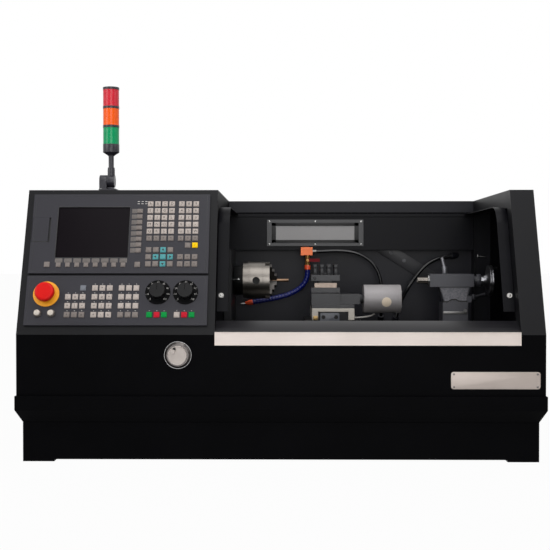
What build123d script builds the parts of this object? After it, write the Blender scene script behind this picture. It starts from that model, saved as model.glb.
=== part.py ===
from build123d import *
import math
import os

os.makedirs("parts", exist_ok=True)

# Overall sizes in millimetres: origin on the floor under the middle of the body, X to the right, Y to the rear
width = 1208.0
depth = 620.0
sheet = 2.0
overrun = 5.0
fit_gap = 0.3
run_gap = 0.05
foot_height = 5.0
plinth_top = 90.5
rim_bottom = 121.0
rim_top = 153.0
slope_rise = 338.3
roof_height = 630.6
slope_angle = 20.14
control_width = 454.0
post_width = 56.5

# Plinth and chip tray
plinth_inset = 12.0
plinth_flange = 84.0
foot_size = 72.0
bolt_radius = 6.5
bolt_inset = 48.0
rim_proud = 10.0
rim_side = 2.0
tray_lip = 24.0

# Front sill, its bright strip and the lid's landing strips
sill_front_rise = 6.3
sill_top_rise = 29.7
sill_run = 44.0
sill_lip = 25.0
strip_height = 30.6
strip_thick = 1.2
jamb_back = 44.0
jamb_drop = 38.0
jamb_width = 27.0
jamb_start = 49.7
jamb_radius = 60.0
post_return = 42.0

# Rear wall, rail, lamp
rail_depth = 34.0
rail_height = 32.6
hinge_radius = 3.0
leaf_height = 12.5
leaf_proud = 1.5
lamp_panel_height = 107.0
lamp_inset = 108.0
lamp_width = 276.0
lamp_height = 76.0
lamp_drop = 20.0
lamp_margin_x = 26.0
lamp_margin_z = 18.0
lamp_frame_thick = 4.0
diffuser_depth = 16.0
diffuser_sink = 2.0
brace_start = 415.0
brace_left_drop = -24.0
brace_stop = 590.0
brace_right_drop = 84.0
brace_width = 37.0
brace_thick = 5.0

# Operator panels on the slope, measured along X and up the slope from its foot
panel_margin = 16.0
panel_width = 420.0
panel_thick = 6.0
panel_back = 45.0
panel_border = 14.0
machine_start = 20.8
machine_height = 120.0
panel_gap = 5.8
display_height = 200.0
screen_left = 60.0
screen_width = 171.3
screen_low = 184.6
screen_height = 129.3
screen_sink = 2.5
screen_thick = 2.0
flap_left = 2.0
flap_width = 38.0
flap_low = 225.0
flap_height = 61.0
flap_thick = 2.2
flap_grip = 4.5
flap_barrel = 1.1
key_size = 13.2
key_pitch = 17.0
key_height = 2.4
soft_key_pitch = 21.6
soft_key_height = 10.8
soft_key_neck = 11.0
side_key_width = 27.0
side_key_height = 11.0
side_key_pitch = 14.25

# Key blocks: first key's centre across and up the slope
key_rise = 17.5
machine_key_rise = 21.5
letters_x = 279.0
numbers_x = 353.3
letters_up = 233.6
letter_rows = 6
cursor_up = 169.4
cursor_rows = 3
reset_up = 216.0
edge_key_left = 42.9
edge_key_right = 254.3
edge_key_up = 168.0
soft_x = 69.7
soft_up = 172.6
side_x = 247.5
side_up = 203.2
soft_count = 8
mode_x = 98.0
axis_x = 159.4
jog_x = 221.0
start_x = 287.3
hold_x = 350.5
machine_key_up = 45.7

# Emergency stop, push buttons, dials, electronic handwheel
stop_x = 47.4
stop_up = 95.4
stop_plate_radius = 30.0
stop_plate_thick = 2.0
stop_collar_radius = 15.0
stop_collar_height = 9.0
stop_head_radius = 22.5
stop_head_height = 12.0
stop_stem_radius = 9.0
stop_travel = 5.0
button_left_x = 30.5
button_right_x = 61.9
button_up = 49.0
button_radius = 7.0
button_height = 4.0
button_collar_radius = 9.0
button_collar_height = 3.0
dial_left_x = 305.1
dial_right_x = 369.0
dial_up = 100.0
dial_disc_radius = 29.0
dial_disc_thick = 1.2
dial_radius = 17.5
dial_height = 19.0
dial_stem_radius = 4.0
dial_pointer = 2.0
wheel_inset = 370.0
wheel_drop = 46.3
bezel_radius = 31.0
bezel_face_radius = 25.0
bezel_height = 7.0
rotor_radius = 21.5
rotor_height = 13.0
rotor_stem_radius = 6.0
rotor_stem_depth = 12.0
finger_radius = 4.5
finger_height = 11.0
finger_offset = 13.0
finger_turn = 135.0

# Signal tower
tower_inset = 186.0
tower_set_back = 190.0
tower_radius = 20.0
lens_radius = 19.6
tower_rise = 256.4
lens_height = 40.5
lens_band = 6.0
tower_base_height = 20.0
tower_cone_height = 7.5
pole_radius = 6.5
socket_radius = 8.0
socket_rise = 33.0
knuckle_rise = 26.4
knuckle_radius = 15.0
knuckle_width = 18.0
tower_pin_radius = 4.0
tower_plate = 44.0
tower_plate_thick = 6.0

# Bed, headstock and spindle drive
axis_back = 170.0
axis_z = 407.5
bed_overhang = 20.0
bed_end_gap = 30.0
bed_half = 65.0
bed_top = 290.0
bed_bottom = 190.0
way_width = 36.0
way_height = 14.0
bed_floor = 16.0
bed_leg_length = 90.0
screw_reach = 100.0
screw_z = 262.0
screw_radius = 8.0
screw_inset = 100.0
screw_end_gap = 29.0
screw_block = 44.0
screw_block_length = 24.0
carriage_motor_size = 60.0
carriage_motor_length = 80.0
head_length = 250.0
head_half = 70.0
head_top = 478.0
guard_thick = 20.0
guard_front_reach = 104.0
guard_rear_reach = 122.0
guard_top = 490.0
spindle_radius = 24.0
spindle_bore = 10.0
spindle_nose = 40.0
spindle_overhang = 46.0
spindle_pulley_radius = 46.0
pulley_width = 26.0
belt_width = 20.0
belt_thick = 4.0
motor_pulley_radius = 27.0
motor_reach = 200.0
motor_z = 360.0
motor_radius = 60.0
motor_length = 190.0
motor_gap = 8.0
motor_shaft_radius = 9.0

# Chuck, jaws and bar
chuck_gap = 27.0
chuck_length = 71.7
chuck_radius = 50.0
chuck_bore = 12.0
chuck_step = 2.0
chuck_step_length = 12.0
key_hole_radius = 10.0
key_hole_depth = 14.0
jaw_width = 14.0
jaw_slot_depth = 12.0
jaw_steps = 3
jaw_reach = 19.0
jaw_outer = 46.0
jaw_grip = 4.8
bar_radius = 4.5
bar_reach = 51.3

# Saddle, cross-slide and turret
saddle_lead = 136.75
saddle_length = 146.0
saddle_front_reach = 136.0
saddle_rear_reach = 74.0
rail_half = 38.7
slide_inset = 18.0
slide_width = 110.0
slide_front_reach = 140.0
slide_rear_reach = 46.0
slide_top = 337.5
slide_bottom = 307.0
slide_plate = 9.0
slide_leg = 16.0
apron_height = 66.0
apron_thick = 34.0
turret_inset = 35.5
turret_reach = 95.0
turret_size = 74.0
turret_base_low = 347.7
turret_base_high = 376.0
turret_low = 378.0
turret_high = 424.0
slot_low = 391.0
slot_high = 409.0
slot_depth = 20.0
turret_hub_radius = 12.0
turret_bolt_size = 9.0
turret_bolt_top = 451.0
turret_bolt_count = 3
tool_length = 58.0
tool_size = 12.0
neck_lead = 16.0
neck_height = 26.0
neck_half = 20.0
turret_motor_gap = 26.0
turret_motor_length = 97.0
turret_motor_radius = 36.8
turret_motor_z = 361.0
turret_flange_radius = 11.6

# Tailstock
tailstock_length = 118.0
tailstock_gap = 28.5
tail_half_height = 17.5
tail_half_width = 26.0
tail_neck_lead = 26.0
tail_neck_gap = 11.0
tail_neck_taper = 13.0
tail_neck_half = 22.0
tail_base_lead = 33.0
tail_base_gap = 17.0
tail_base_half = 34.0
tail_base_top = 348.0
quill_radius = 9.0
quill_reach = 31.5
quill_bore = 5.5
quill_socket = 40.0
collar_gap = 11.0
collar_radius = 17.0
collar_length = 11.0
wheel_gap = 42.0
wheel_rim = 11.0
wheel_radius = 41.0
wheel_hub_radius = 12.0
wheel_web = 6.0
wheel_handle_radius = 4.5
wheel_handle_length = 14.0
lever_lead = 43.0
lever_radius = 4.5
lever_rise = 20.0
lever_length = 30.0
lever_tilt = 14.0
lever_boss = 7.0
clamp_gap = 5.0
clamp_z = 362.0
clamp_length = 34.0
clamp_radius = 3.5

# Coolant valve on the lamp panel, and the cords
route_span = 697.5
valve_inset = 205.0
valve_width = 33.0
valve_height = 23.0
valve_lap = 8.0
valve_depth = 30.0
tail_offset = 19.0
tail_radius = 6.0
tail_length = 40.0
tail_nut_radius = 8.5
tail_nut_height = 12.0
valve_axis_drop = 14.0
valve_stem_radius = 4.0
valve_stem_length = 10.0
valve_lever_length = 34.0
valve_lever_width = 9.0
valve_lever_thick = 3.0
hose_radius = 6.5
supply_radius = 4.5
conduit_radius = 5.0
lead_radius = 2.2
gland_radius = 9.0
nozzle_length = 25.0
nozzle_tip_radius = 2.5
nozzle_radius = 7.5
arc_share = 0.45

# Planes and lines that several pieces share
front = -depth / 2
rear = depth / 2
slope = math.radians(slope_angle)
side = width / 2
rise = Vector(0, math.sin(slope), math.cos(slope))
outward = Vector(0, -math.cos(slope), math.sin(slope))
display_start = machine_start + machine_height + panel_gap
kink_height = roof_height - slope_rise
opening_left = control_width - side
opening_right = side - post_width
spread = (opening_right - opening_left) / route_span
head_right = opening_left
head_left = head_right - head_length
guard_right = opening_left + guard_thick
spindle_tail = head_left - spindle_overhang
chuck_left = guard_right + chuck_gap
chuck_right = chuck_left + chuck_length
bar_end = chuck_right + bar_reach
bed_left = head_left - bed_overhang
bed_right = side - bed_end_gap
screw_left = head_left + screw_inset
screw_right = bed_right - screw_end_gap
saddle_left = (opening_left + opening_right) / 2 - saddle_lead
saddle_right = saddle_left + saddle_length
slide_left = saddle_left + slide_inset
slide_right = slide_left + slide_width
turret_x = slide_left + turret_inset
neck_right = slide_right + neck_lead
turret_motor_left = slide_right + turret_motor_gap
tail_right = opening_right - tailstock_gap
tail_left = tail_right - tailstock_length
tail_neck_left = tail_left + tail_neck_lead
tail_neck_right = tail_right - tail_neck_gap
tail_base_left = tail_left + tail_base_lead
tail_base_right = tail_right - tail_base_gap
quill_tip = tail_left - quill_reach
collar_left = tail_right + collar_gap
wheel_left = tail_right + wheel_gap
lever_x = tail_left + lever_lead
clamp_x = tail_right - clamp_gap
valve_left = opening_left + valve_inset * spread
valve_right = valve_left + valve_width
tail_x = valve_left + tail_offset
brace_left = opening_left + brace_start * spread
brace_right = opening_left + brace_stop * spread
panel_left = panel_margin - side
sill_front = kink_height + sill_front_rise
sill_top = kink_height + sill_top_rise
jamb_bottom = kink_height + jamb_start
rail_front = rear - rail_depth
rail_bottom = roof_height - rail_height
leaf_bottom = rail_bottom - leaf_height
lamp_panel_bottom = rail_bottom - lamp_panel_height
wheel_x = wheel_inset - side
wheel_z = kink_height - wheel_drop
tower_x = tower_inset - side
tower_y = front + tower_set_back
knuckle_height = roof_height + knuckle_rise
socket_top = knuckle_height + socket_rise
tower_top = roof_height + tower_rise
axis_y = rear - axis_back
screw_y = axis_y - screw_reach
motor_y = axis_y - motor_reach
turret_y = axis_y - turret_reach
slide_front = axis_y - slide_front_reach
slide_rear = axis_y + slide_rear_reach
saddle_front = axis_y - saddle_front_reach
saddle_rear = axis_y + saddle_rear_reach


def block(x0, x1, y0, y1, z0, z1):
    return Pos((x0 + x1) / 2, (y0 + y1) / 2, (z0 + z1) / 2) * Box(x1 - x0, y1 - y0, z1 - z0)


def rod(start, direction, radius, length):
    # A round bar from a start point along a direction
    centred = (Align.CENTER, Align.CENTER, Align.MIN)
    return Plane(origin=start, z_dir=direction) * Cylinder(radius, length, align=centred)


def along_x(points, x0, x1):
    # A section drawn in Y and Z, drawn out from x0 to x1
    face = Plane.YZ * make_face(Polyline(*points, close=True))
    return Pos(x0, 0, 0) * extrude(face, amount=x1 - x0, dir=(1, 0, 0))


def slope_point(x, up, out):
    # A point by the panels: across from their left edge, up the slope, and outwards
    return Vector(panel_left + x, front, kink_height) + rise * up + outward * out


def plate(x0, x1, u0, u1, n0, n1):
    # A flat block on the slope: across, up the slope, and outwards
    middle = slope_point((x0 + x1) / 2, (u0 + u1) / 2, (n0 + n1) / 2)
    return Plane(origin=middle, x_dir=(1, 0, 0), z_dir=outward) * Box(x1 - x0, u1 - u0, n1 - n0)


def outline(inset, bottom):
    # The cabinet's side view, taken in by an inset: front wall, slope, roof, rear
    y_wall = front + inset
    z_kink = kink_height - inset * (1 / math.cos(slope) - 1) / math.tan(slope)
    z_roof = roof_height - inset
    y_roof = front + (z_roof - kink_height) * math.tan(slope) + inset / math.cos(slope)
    return [(y_wall, bottom), (y_wall, z_kink), (y_roof, z_roof), (rear - inset, z_roof),
            (rear - inset, bottom)]


def save(shape, node):
    export_step(shape, "parts/" + node + ".step")


def cord(points, radius, node, tip=None):
    # A tube of straight runs and tangent arcs, each arc as large as its runs allow, and a tip if it has one
    runs = [b - a for a, b in zip(points, points[1:])]
    half_turns = [math.radians(a.get_angle(b)) / 2 for a, b in zip(runs, runs[1:])]
    shorter = [min(a.length, b.length) for a, b in zip(runs, runs[1:])]
    radii = [arc_share * s / math.tan(h) for s, h in zip(shorter, half_turns)]
    path = FilletPolyline(*points, radius=radii)
    tube = sweep(Plane(origin=path @ 0, z_dir=path % 0) * Circle(radius), path=path)
    if tip is None:
        save(tube, node)
    else:
        centred = (Align.CENTER, Align.CENTER, Align.MIN)
        cone = Plane(origin=path @ 1, z_dir=path % 1) * Cone(*tip, align=centred)
        save(Compound(children=[tube, cone]), node)


def cabinet():
    # Plinth: folded walls on an inward flange, with welded foot pads and bench bolt holes
    px = side - plinth_inset
    py = rear - plinth_inset
    plinth = block(-px, px, -py, py, foot_height, plinth_top)
    plinth -= block(-px + sheet, px - sheet, -py + sheet, py - sheet, foot_height + sheet,
                    plinth_top + overrun)
    window_x = px - plinth_flange
    window_y = py - plinth_flange
    plinth -= block(-window_x, window_x, -window_y, window_y, 0, plinth_top)
    bolt_x = px - bolt_inset
    bolt_y = py - bolt_inset
    for sx in (-1, 1):
        for sy in (-1, 1):
            pad = Pos(sx * (px - foot_size / 2), sy * (py - foot_size / 2), foot_height / 2)
            plinth += pad * Box(foot_size, foot_size, foot_height)
    for sx in (-1, 1):
        for sy in (-1, 1):
            plinth -= rod((sx * bolt_x, sy * bolt_y, -overrun), (0, 0, 1), bolt_radius, plinth_top / 2)
    save(plinth, "base_plinth")

    # Chip tray: a proud rim over sides that draw in to the plinth
    def tray_form(inset):
        rim_x = 2 * (side + rim_side - inset)
        rim_y = 2 * (rear + rim_proud - inset)
        low_x = 2 * (px - inset)
        low_y = 2 * (py - inset)
        low = Plane.XY.offset(plinth_top + inset) * Rectangle(low_x, low_y)
        high = Plane.XY.offset(rim_bottom) * Rectangle(rim_x, rim_y)
        band = Pos(0, 0, (rim_bottom + rim_top - inset) / 2) * Box(rim_x, rim_y, rim_top - inset - rim_bottom)
        return loft([low, high]) + band
    mouth_x = side - tray_lip
    mouth_y = rear - tray_lip
    tray = tray_form(0) - tray_form(sheet)
    tray -= block(-mouth_x, mouth_x, -mouth_y, mouth_y, rim_bottom, rim_top + overrun)
    save(tray, "chip_tray")

    # Front skirt: one folded sheet with the sloping sill and its inner lip
    outer = outline(0, rim_top)
    inner = outline(sheet, rim_top)
    skirt = along_x([outer[0], outer[1], inner[1], inner[0]], -side, side)
    sill_back = front + sill_run
    sill = [(front, kink_height), (front, sill_front), (sill_back, sill_top),
            (sill_back, sill_top - sill_lip)]
    sill += [(sill_back - sheet, sill_top - sill_lip), (sill_back - sheet, sill_top - sheet - sheet)]
    sill += [(front + sheet, sill_front - sheet), (front + sheet, kink_height - sheet)]
    skirt += along_x(sill, opening_left, opening_right)
    stem_hole = rod((wheel_x, front - overrun, wheel_z), (0, 1, 0), rotor_stem_radius + run_gap, 2 * overrun)
    save(skirt - stem_hole, "front_skirt")
    strip_y = front - strip_thick
    save(block(opening_left, opening_right, strip_y, front, sill_front - strip_height, sill_front),
         "sill_trim")

    # Side sheets, and the folded cover of the control cabinet with its two panel windows
    save(along_x(inner, -side, sheet - side), "left_side")
    save(along_x(inner, side - sheet, side), "right_side")
    cover = [outer[1], outer[2], outer[3], (rear, roof_height - sheet), inner[2], inner[1]]
    hood = along_x(cover, -side, opening_left)
    in_left = panel_border
    in_right = panel_width - panel_border
    for start, height in ((machine_start, machine_height), (display_start, display_height)):
        low = start + panel_border
        high = start + height - panel_border
        hood -= plate(in_left - fit_gap, in_right + fit_gap, low - fit_gap, high + fit_gap, -panel_back,
                      overrun)
    save(hood, "control_cover")

    # Bulkhead beside the work space, open round the headstock, bed and carriage screw
    wall = along_x(inner, opening_left - sheet, opening_left)
    hole_front = screw_y - screw_block
    hole_rear = axis_y + head_half + overrun
    wall -= block(opening_left - sheet - overrun, opening_left + overrun, hole_front, hole_rear, 0,
                  head_top + overrun)
    save(wall, "inner_bulkhead")

    # Right post: slanted and top flanges with a return into the work space
    post = along_x(cover, opening_right, side)
    web = along_x(inner, opening_right, opening_right + sheet)
    web -= along_x(outline(post_return, 0), opening_right - overrun, opening_right + overrun)
    save(post + web, "right_post")

    # Landing strips for the lid, bent over a radius at the top
    def landing(inset):
        y_low = front + jamb_back + inset / math.cos(slope)
        z_top = roof_height - jamb_drop - inset
        low = (y_low + (jamb_bottom - kink_height) * math.tan(slope), jamb_bottom)
        bend = (y_low + (z_top - kink_height) * math.tan(slope), z_top)
        rail = rail_front - leaf_proud
        far = [(rail, z_top), (rail, jamb_bottom)]
        face = make_face(Polyline(low, bend, *far, close=True))
        corner = face.vertices().sort_by_distance(bend)[0]
        return Plane.YZ * fillet(corner, jamb_radius - inset)
    jamb = extrude(landing(0), amount=jamb_width, dir=(1, 0, 0))
    hollow = extrude(landing(sheet), amount=jamb_width, dir=(1, 0, 0))
    strip = jamb - hollow
    jambs = [Pos(opening_left, 0, 0) * strip, Pos(opening_right - jamb_width, 0, 0) * strip]
    save(Compound(children=jambs), "lid_jambs")


def placed(start_x, route):
    # A route's points behind the lamp panel's lower front edge, spread along X with the opening
    return [Vector(start_x + x * spread, rail_front + y, lamp_panel_bottom + z) for x, y, z in route]


def gland(end, before):
    # An angled gland that carries a hose's end on into the rear wall
    run = (end - before).normalized()
    reach = (rear - end.Y + gland_radius) / run.Y
    body = rod(end, run, gland_radius, reach)
    return body - block(-side, side, rear - sheet / 2, rear + reach, 0, roof_height)


def rear_and_lamp():
    # Rear wall with the folded top rail, hinge barrel and leaf, and a diagonal stiffener
    wall_y = rear - sheet
    wall = block(-side, side, wall_y, rear, rim_top, roof_height - sheet)
    wall += block(opening_left, opening_right, rail_front, rear, roof_height - sheet, roof_height)
    wall += block(opening_left, opening_right, rail_front, rail_front + sheet, rail_bottom, roof_height)
    barrel_y = rail_front + hinge_radius
    length = opening_right - opening_left
    leaf = rod((opening_left, barrel_y, rail_bottom), (1, 0, 0), hinge_radius, length)
    wall += leaf
    brace_run = Vector(brace_right - brace_left, 0, brace_left_drop - brace_right_drop)
    brace_z = lamp_panel_bottom - (brace_left_drop + brace_right_drop) / 2
    middle = ((brace_left + brace_right) / 2, wall_y - brace_thick / 2, brace_z)
    turned = Plane(origin=middle, x_dir=brace_run, z_dir=(0, -1, 0))
    brace = turned * Box(brace_run.length, brace_width, brace_thick)
    above = lamp_panel_bottom - fit_gap
    brace -= block(brace_left - brace_width, brace_right, rail_front, wall_y + brace_thick, above,
                   roof_height)
    wall += brace
    supply = placed(valve_right, supply_route)
    conduit = placed(opening_left, conduit_route)
    for end, before in (supply[-1:-3:-1], conduit[:2], conduit[-1:-3:-1]):
        wall += gland(end, before)
    save(wall, "rear_wall")

    # Lamp panel hung from the rail, returned to the rear wall along its lower edge
    panel_top = rail_bottom - hinge_radius - fit_gap
    panel = block(opening_left, opening_right, rail_front, rail_front + sheet, lamp_panel_bottom, panel_top)
    panel += block(opening_left, opening_right, rail_front, wall_y, lamp_panel_bottom,
                   lamp_panel_bottom + sheet)
    panel += block(opening_left, opening_right, rail_front - leaf_proud, rail_front, leaf_bottom, panel_top)
    lamp_left = opening_left + lamp_inset
    lamp_right = lamp_left + lamp_width
    lamp_high = rail_bottom - lamp_drop
    lamp_low = lamp_high - lamp_height
    glass_left = lamp_left + lamp_margin_x
    glass_right = lamp_right - lamp_margin_x
    glass_low = lamp_low + lamp_margin_z
    glass_high = lamp_high - lamp_margin_z
    window = (glass_left, glass_right, rail_front - lamp_frame_thick - overrun, rail_front + overrun)
    panel -= block(*window, glass_low, glass_high)
    save(panel, "lamp_panel")
    frame_front = rail_front - lamp_frame_thick
    frame = block(lamp_left, lamp_right, frame_front, rail_front, lamp_low, lamp_high)
    save(frame - block(*window, glass_low, glass_high), "lamp_frame")
    glass_front = frame_front + diffuser_sink
    glass_rear = glass_front + diffuser_depth
    save(block(glass_left, glass_right, glass_front, glass_rear, glass_low, glass_high), "lamp_diffuser")


def key_block(x, up, columns, rows, step_up, height):
    # A block of square key caps standing on a panel
    caps = []
    for c in range(columns):
        for r in range(rows):
            cx = x + c * key_pitch
            cu = up + r * step_up
            half = key_size / 2
            caps.append(plate(cx - half, cx + half, cu - half, cu + half, panel_thick, panel_thick + height))
    return caps


def panels():
    # Display panel: front plate over a rear case, sunk for the screen and the card flap
    case_left = panel_border
    case_right = panel_width - panel_border
    top = display_start + display_height
    body = plate(0, panel_width, display_start, top, 0, panel_thick)
    body += plate(case_left, case_right, display_start + panel_border, top - panel_border, -panel_back, 0)
    screen_right = screen_left + screen_width
    screen_high = screen_low + screen_height
    screen_floor = panel_thick - screen_sink - screen_thick
    body -= plate(screen_left, screen_right, screen_low, screen_high, screen_floor, panel_thick + overrun)
    flap_right = flap_left + flap_width
    flap_high = flap_low + flap_height
    flap_floor = panel_thick - flap_thick - fit_gap
    pocket_left = flap_left - flap_barrel - fit_gap
    pocket = (pocket_left, flap_right + flap_grip, flap_low - fit_gap, flap_high + fit_gap)
    body -= plate(*pocket, flap_floor - flap_barrel, panel_thick + overrun)
    save(body, "display_panel")
    save(plate(screen_left, screen_right, screen_low, screen_high, screen_floor,
               screen_floor + screen_thick), "screen")

    # Card flap: a thin door on a round barrel along its left edge
    flap = plate(flap_left, flap_right, flap_low, flap_high, panel_thick - flap_thick, panel_thick)
    barrel_start = slope_point(flap_left, flap_low, panel_thick - flap_barrel)
    flap += rod(barrel_start, rise, flap_barrel, flap_height)
    save(flap, "card_flap")

    # Keys of the display panel: letters, numbers, cursor block, soft keys under and beside the screen
    keys = key_block(letters_x, letters_up, 4, letter_rows, key_rise, key_height)
    keys += key_block(numbers_x, letters_up, 3, letter_rows, key_rise, key_height)
    keys += key_block(numbers_x + key_pitch, reset_up, 2, 1, key_rise, key_height)
    keys += key_block(letters_x, cursor_up, 4, cursor_rows, key_rise, key_height)
    keys += key_block(numbers_x, cursor_up, 3, 2, key_rise, key_height)
    keys += key_block(edge_key_left, edge_key_up, 1, 1, key_rise, key_height)
    keys += key_block(edge_key_right, edge_key_up, 1, 1, key_rise, key_height)
    half = soft_key_neck / 2
    for k in range(soft_count):
        x = soft_x + k * soft_key_pitch
        keys.append(plate(x - half, x + half, soft_up - soft_key_height, soft_up, panel_thick,
                          panel_thick + key_height))
        u = side_up + k * side_key_pitch
        low = u - side_key_height / 2
        reach = side_x + side_key_width / 2
        keys.append(plate(side_x, reach, low, low + side_key_height, panel_thick, panel_thick + key_height))
    save(Compound(children=keys), "display_keys")

    # Machine panel with the stop collar, button collars and dial scales
    top = machine_start + machine_height
    body = plate(0, panel_width, machine_start, top, 0, panel_thick)
    body += plate(case_left, case_right, machine_start + panel_border, top - panel_border, -panel_back, 0)
    face = panel_thick
    body += rod(slope_point(stop_x, stop_up, face), outward, stop_plate_radius, stop_plate_thick)
    body += rod(slope_point(stop_x, stop_up, face), outward, stop_collar_radius, stop_collar_height)
    stop_bore = stop_stem_radius + run_gap
    stop_well = stop_collar_height + face
    body -= rod(slope_point(stop_x, stop_up, 0), outward, stop_bore, stop_well + overrun)
    for x in (button_left_x, button_right_x):
        body += rod(slope_point(x, button_up, face), outward, button_collar_radius, button_collar_height)
        body -= rod(slope_point(x, button_up, 0), outward, button_radius + run_gap,
                    face + button_collar_height + overrun)
    for x in (dial_left_x, dial_right_x):
        body += rod(slope_point(x, dial_up, face), outward, dial_disc_radius, dial_disc_thick)
        body -= rod(slope_point(x, dial_up, 0), outward, dial_stem_radius + run_gap,
                    face + dial_disc_thick + overrun)
    save(body, "machine_panel")
    keys = key_block(mode_x, machine_key_up, 3, 3, machine_key_rise, key_height)
    keys += key_block(mode_x + 2 * key_pitch, machine_key_up + 3 * machine_key_rise, 1, 1, key_rise,
                      key_height)
    keys += key_block(axis_x, machine_key_up, 3, 4, machine_key_rise, key_height)
    keys += key_block(jog_x, machine_key_up, 3, 4, machine_key_rise, key_height)
    keys += key_block(start_x, machine_key_up, 3, 1, key_rise, key_height)
    keys += key_block(hold_x, machine_key_up, 3, 1, key_rise, key_height)
    save(Compound(children=keys), "machine_keys")

    # Mushroom stop button, push buttons and override dials on their stems
    stop_seat = face + stop_collar_height + stop_travel + fit_gap
    stop = rod(slope_point(stop_x, stop_up, stop_travel + fit_gap), outward, stop_stem_radius, stop_seat)
    head = rod(slope_point(stop_x, stop_up, stop_seat), outward, stop_head_radius, stop_head_height)
    crown = head.faces().sort_by(Axis(tuple(slope_point(0, 0, 0)), tuple(outward)))[-1].edges()
    save(stop + fillet(crown, stop_head_height / 2), "stop_button")
    button_seat = face + button_collar_height
    for x, node in ((button_left_x, "push_button_left"), (button_right_x, "push_button_right")):
        start = slope_point(x, button_up, button_height)
        save(rod(start, outward, button_radius, button_seat), node)
    dial_seat = face + dial_disc_thick + fit_gap
    for x, node in ((dial_left_x, "feed_dial"), (dial_right_x, "spindle_dial")):
        dial = rod(slope_point(x, dial_up, fit_gap), outward, dial_stem_radius, dial_seat)
        dial += rod(slope_point(x, dial_up, dial_seat), outward, dial_radius, dial_height)
        tip = dial_seat + dial_height
        dial -= plate(x - dial_pointer / 2, x + dial_pointer / 2, dial_up, dial_up + dial_radius,
                      tip - dial_pointer, tip)
        save(dial, node)

    # Electronic handwheel: conical bezel on the skirt, rotor with a finger knob
    cone = Cone(bezel_radius, bezel_face_radius, bezel_height, align=(Align.CENTER, Align.CENTER, Align.MIN))
    bezel = Plane(origin=(wheel_x, front, wheel_z), z_dir=(0, -1, 0)) * cone
    bezel -= rod((wheel_x, front + overrun, wheel_z), (0, -1, 0), rotor_radius + fit_gap,
                 bezel_height + 2 * overrun)
    save(bezel, "handwheel_bezel")
    rotor = rod((wheel_x, front - fit_gap, wheel_z), (0, -1, 0), rotor_radius, rotor_height)
    rotor += rod((wheel_x, front - fit_gap, wheel_z), (0, 1, 0), rotor_stem_radius, rotor_stem_depth)
    turn = math.radians(finger_turn)
    knob_x = wheel_x + finger_offset * math.cos(turn)
    knob_z = wheel_z + finger_offset * math.sin(turn)
    rotor += rod((knob_x, front - rotor_height, knob_z), (0, -1, 0), finger_radius, finger_height)
    save(rotor, "pulse_handwheel")


def tower():
    # Foot plate with one ear, and a mast that folds on the ear's pin
    ear_right = tower_x - knuckle_width / 2 - fit_gap
    ear_left = ear_right - knuckle_width
    half = tower_plate / 2
    foot_top = roof_height + tower_plate_thick
    foot = block(ear_left, ear_left + tower_plate, tower_y - half, tower_y + half, roof_height, foot_top)
    foot += block(ear_left, ear_right, tower_y - knuckle_radius, tower_y + knuckle_radius, roof_height,
                  knuckle_height)
    foot += rod((ear_left, tower_y, knuckle_height), (1, 0, 0), knuckle_radius, knuckle_width)
    pin_length = 2 * knuckle_width
    foot += rod((ear_right, tower_y, knuckle_height), (1, 0, 0), tower_pin_radius, knuckle_width + fit_gap)
    save(foot, "tower_foot")
    up = (0, 0, 1)
    mast = rod((ear_right + fit_gap, tower_y, knuckle_height), (1, 0, 0), knuckle_radius, knuckle_width)
    mast += rod((tower_x, tower_y, knuckle_height), up, socket_radius, socket_top - knuckle_height)
    stack = 3 * lens_height + 3 * lens_band
    base_top = tower_top - stack
    cone_low = base_top - tower_base_height - tower_cone_height
    mast += rod((tower_x, tower_y, socket_top), up, pole_radius, cone_low - socket_top)
    cone = Cone(socket_radius, tower_radius, tower_cone_height, align=(Align.CENTER, Align.CENTER, Align.MIN))
    mast += Pos(tower_x, tower_y, cone_low) * cone
    mast += rod((tower_x, tower_y, base_top - tower_base_height), up, tower_radius, tower_base_height)
    core = tower_radius / 3
    mast += rod((tower_x, tower_y, base_top), up, core, stack)
    lenses = []
    for k in range(3):
        low = base_top + k * (lens_height + lens_band)
        lens = rod((tower_x, tower_y, low), up, lens_radius, lens_height)
        lenses.append(lens - rod((tower_x, tower_y, low), up, core, lens_height))
        mast += rod((tower_x, tower_y, low + lens_height), up, tower_radius, lens_band)
    bore = rod((ear_right, tower_y, knuckle_height), (1, 0, 0), tower_pin_radius + run_gap, pin_length)
    save(mast - bore, "tower_mast")
    save(Compound(children=lenses), "tower_lenses")


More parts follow.
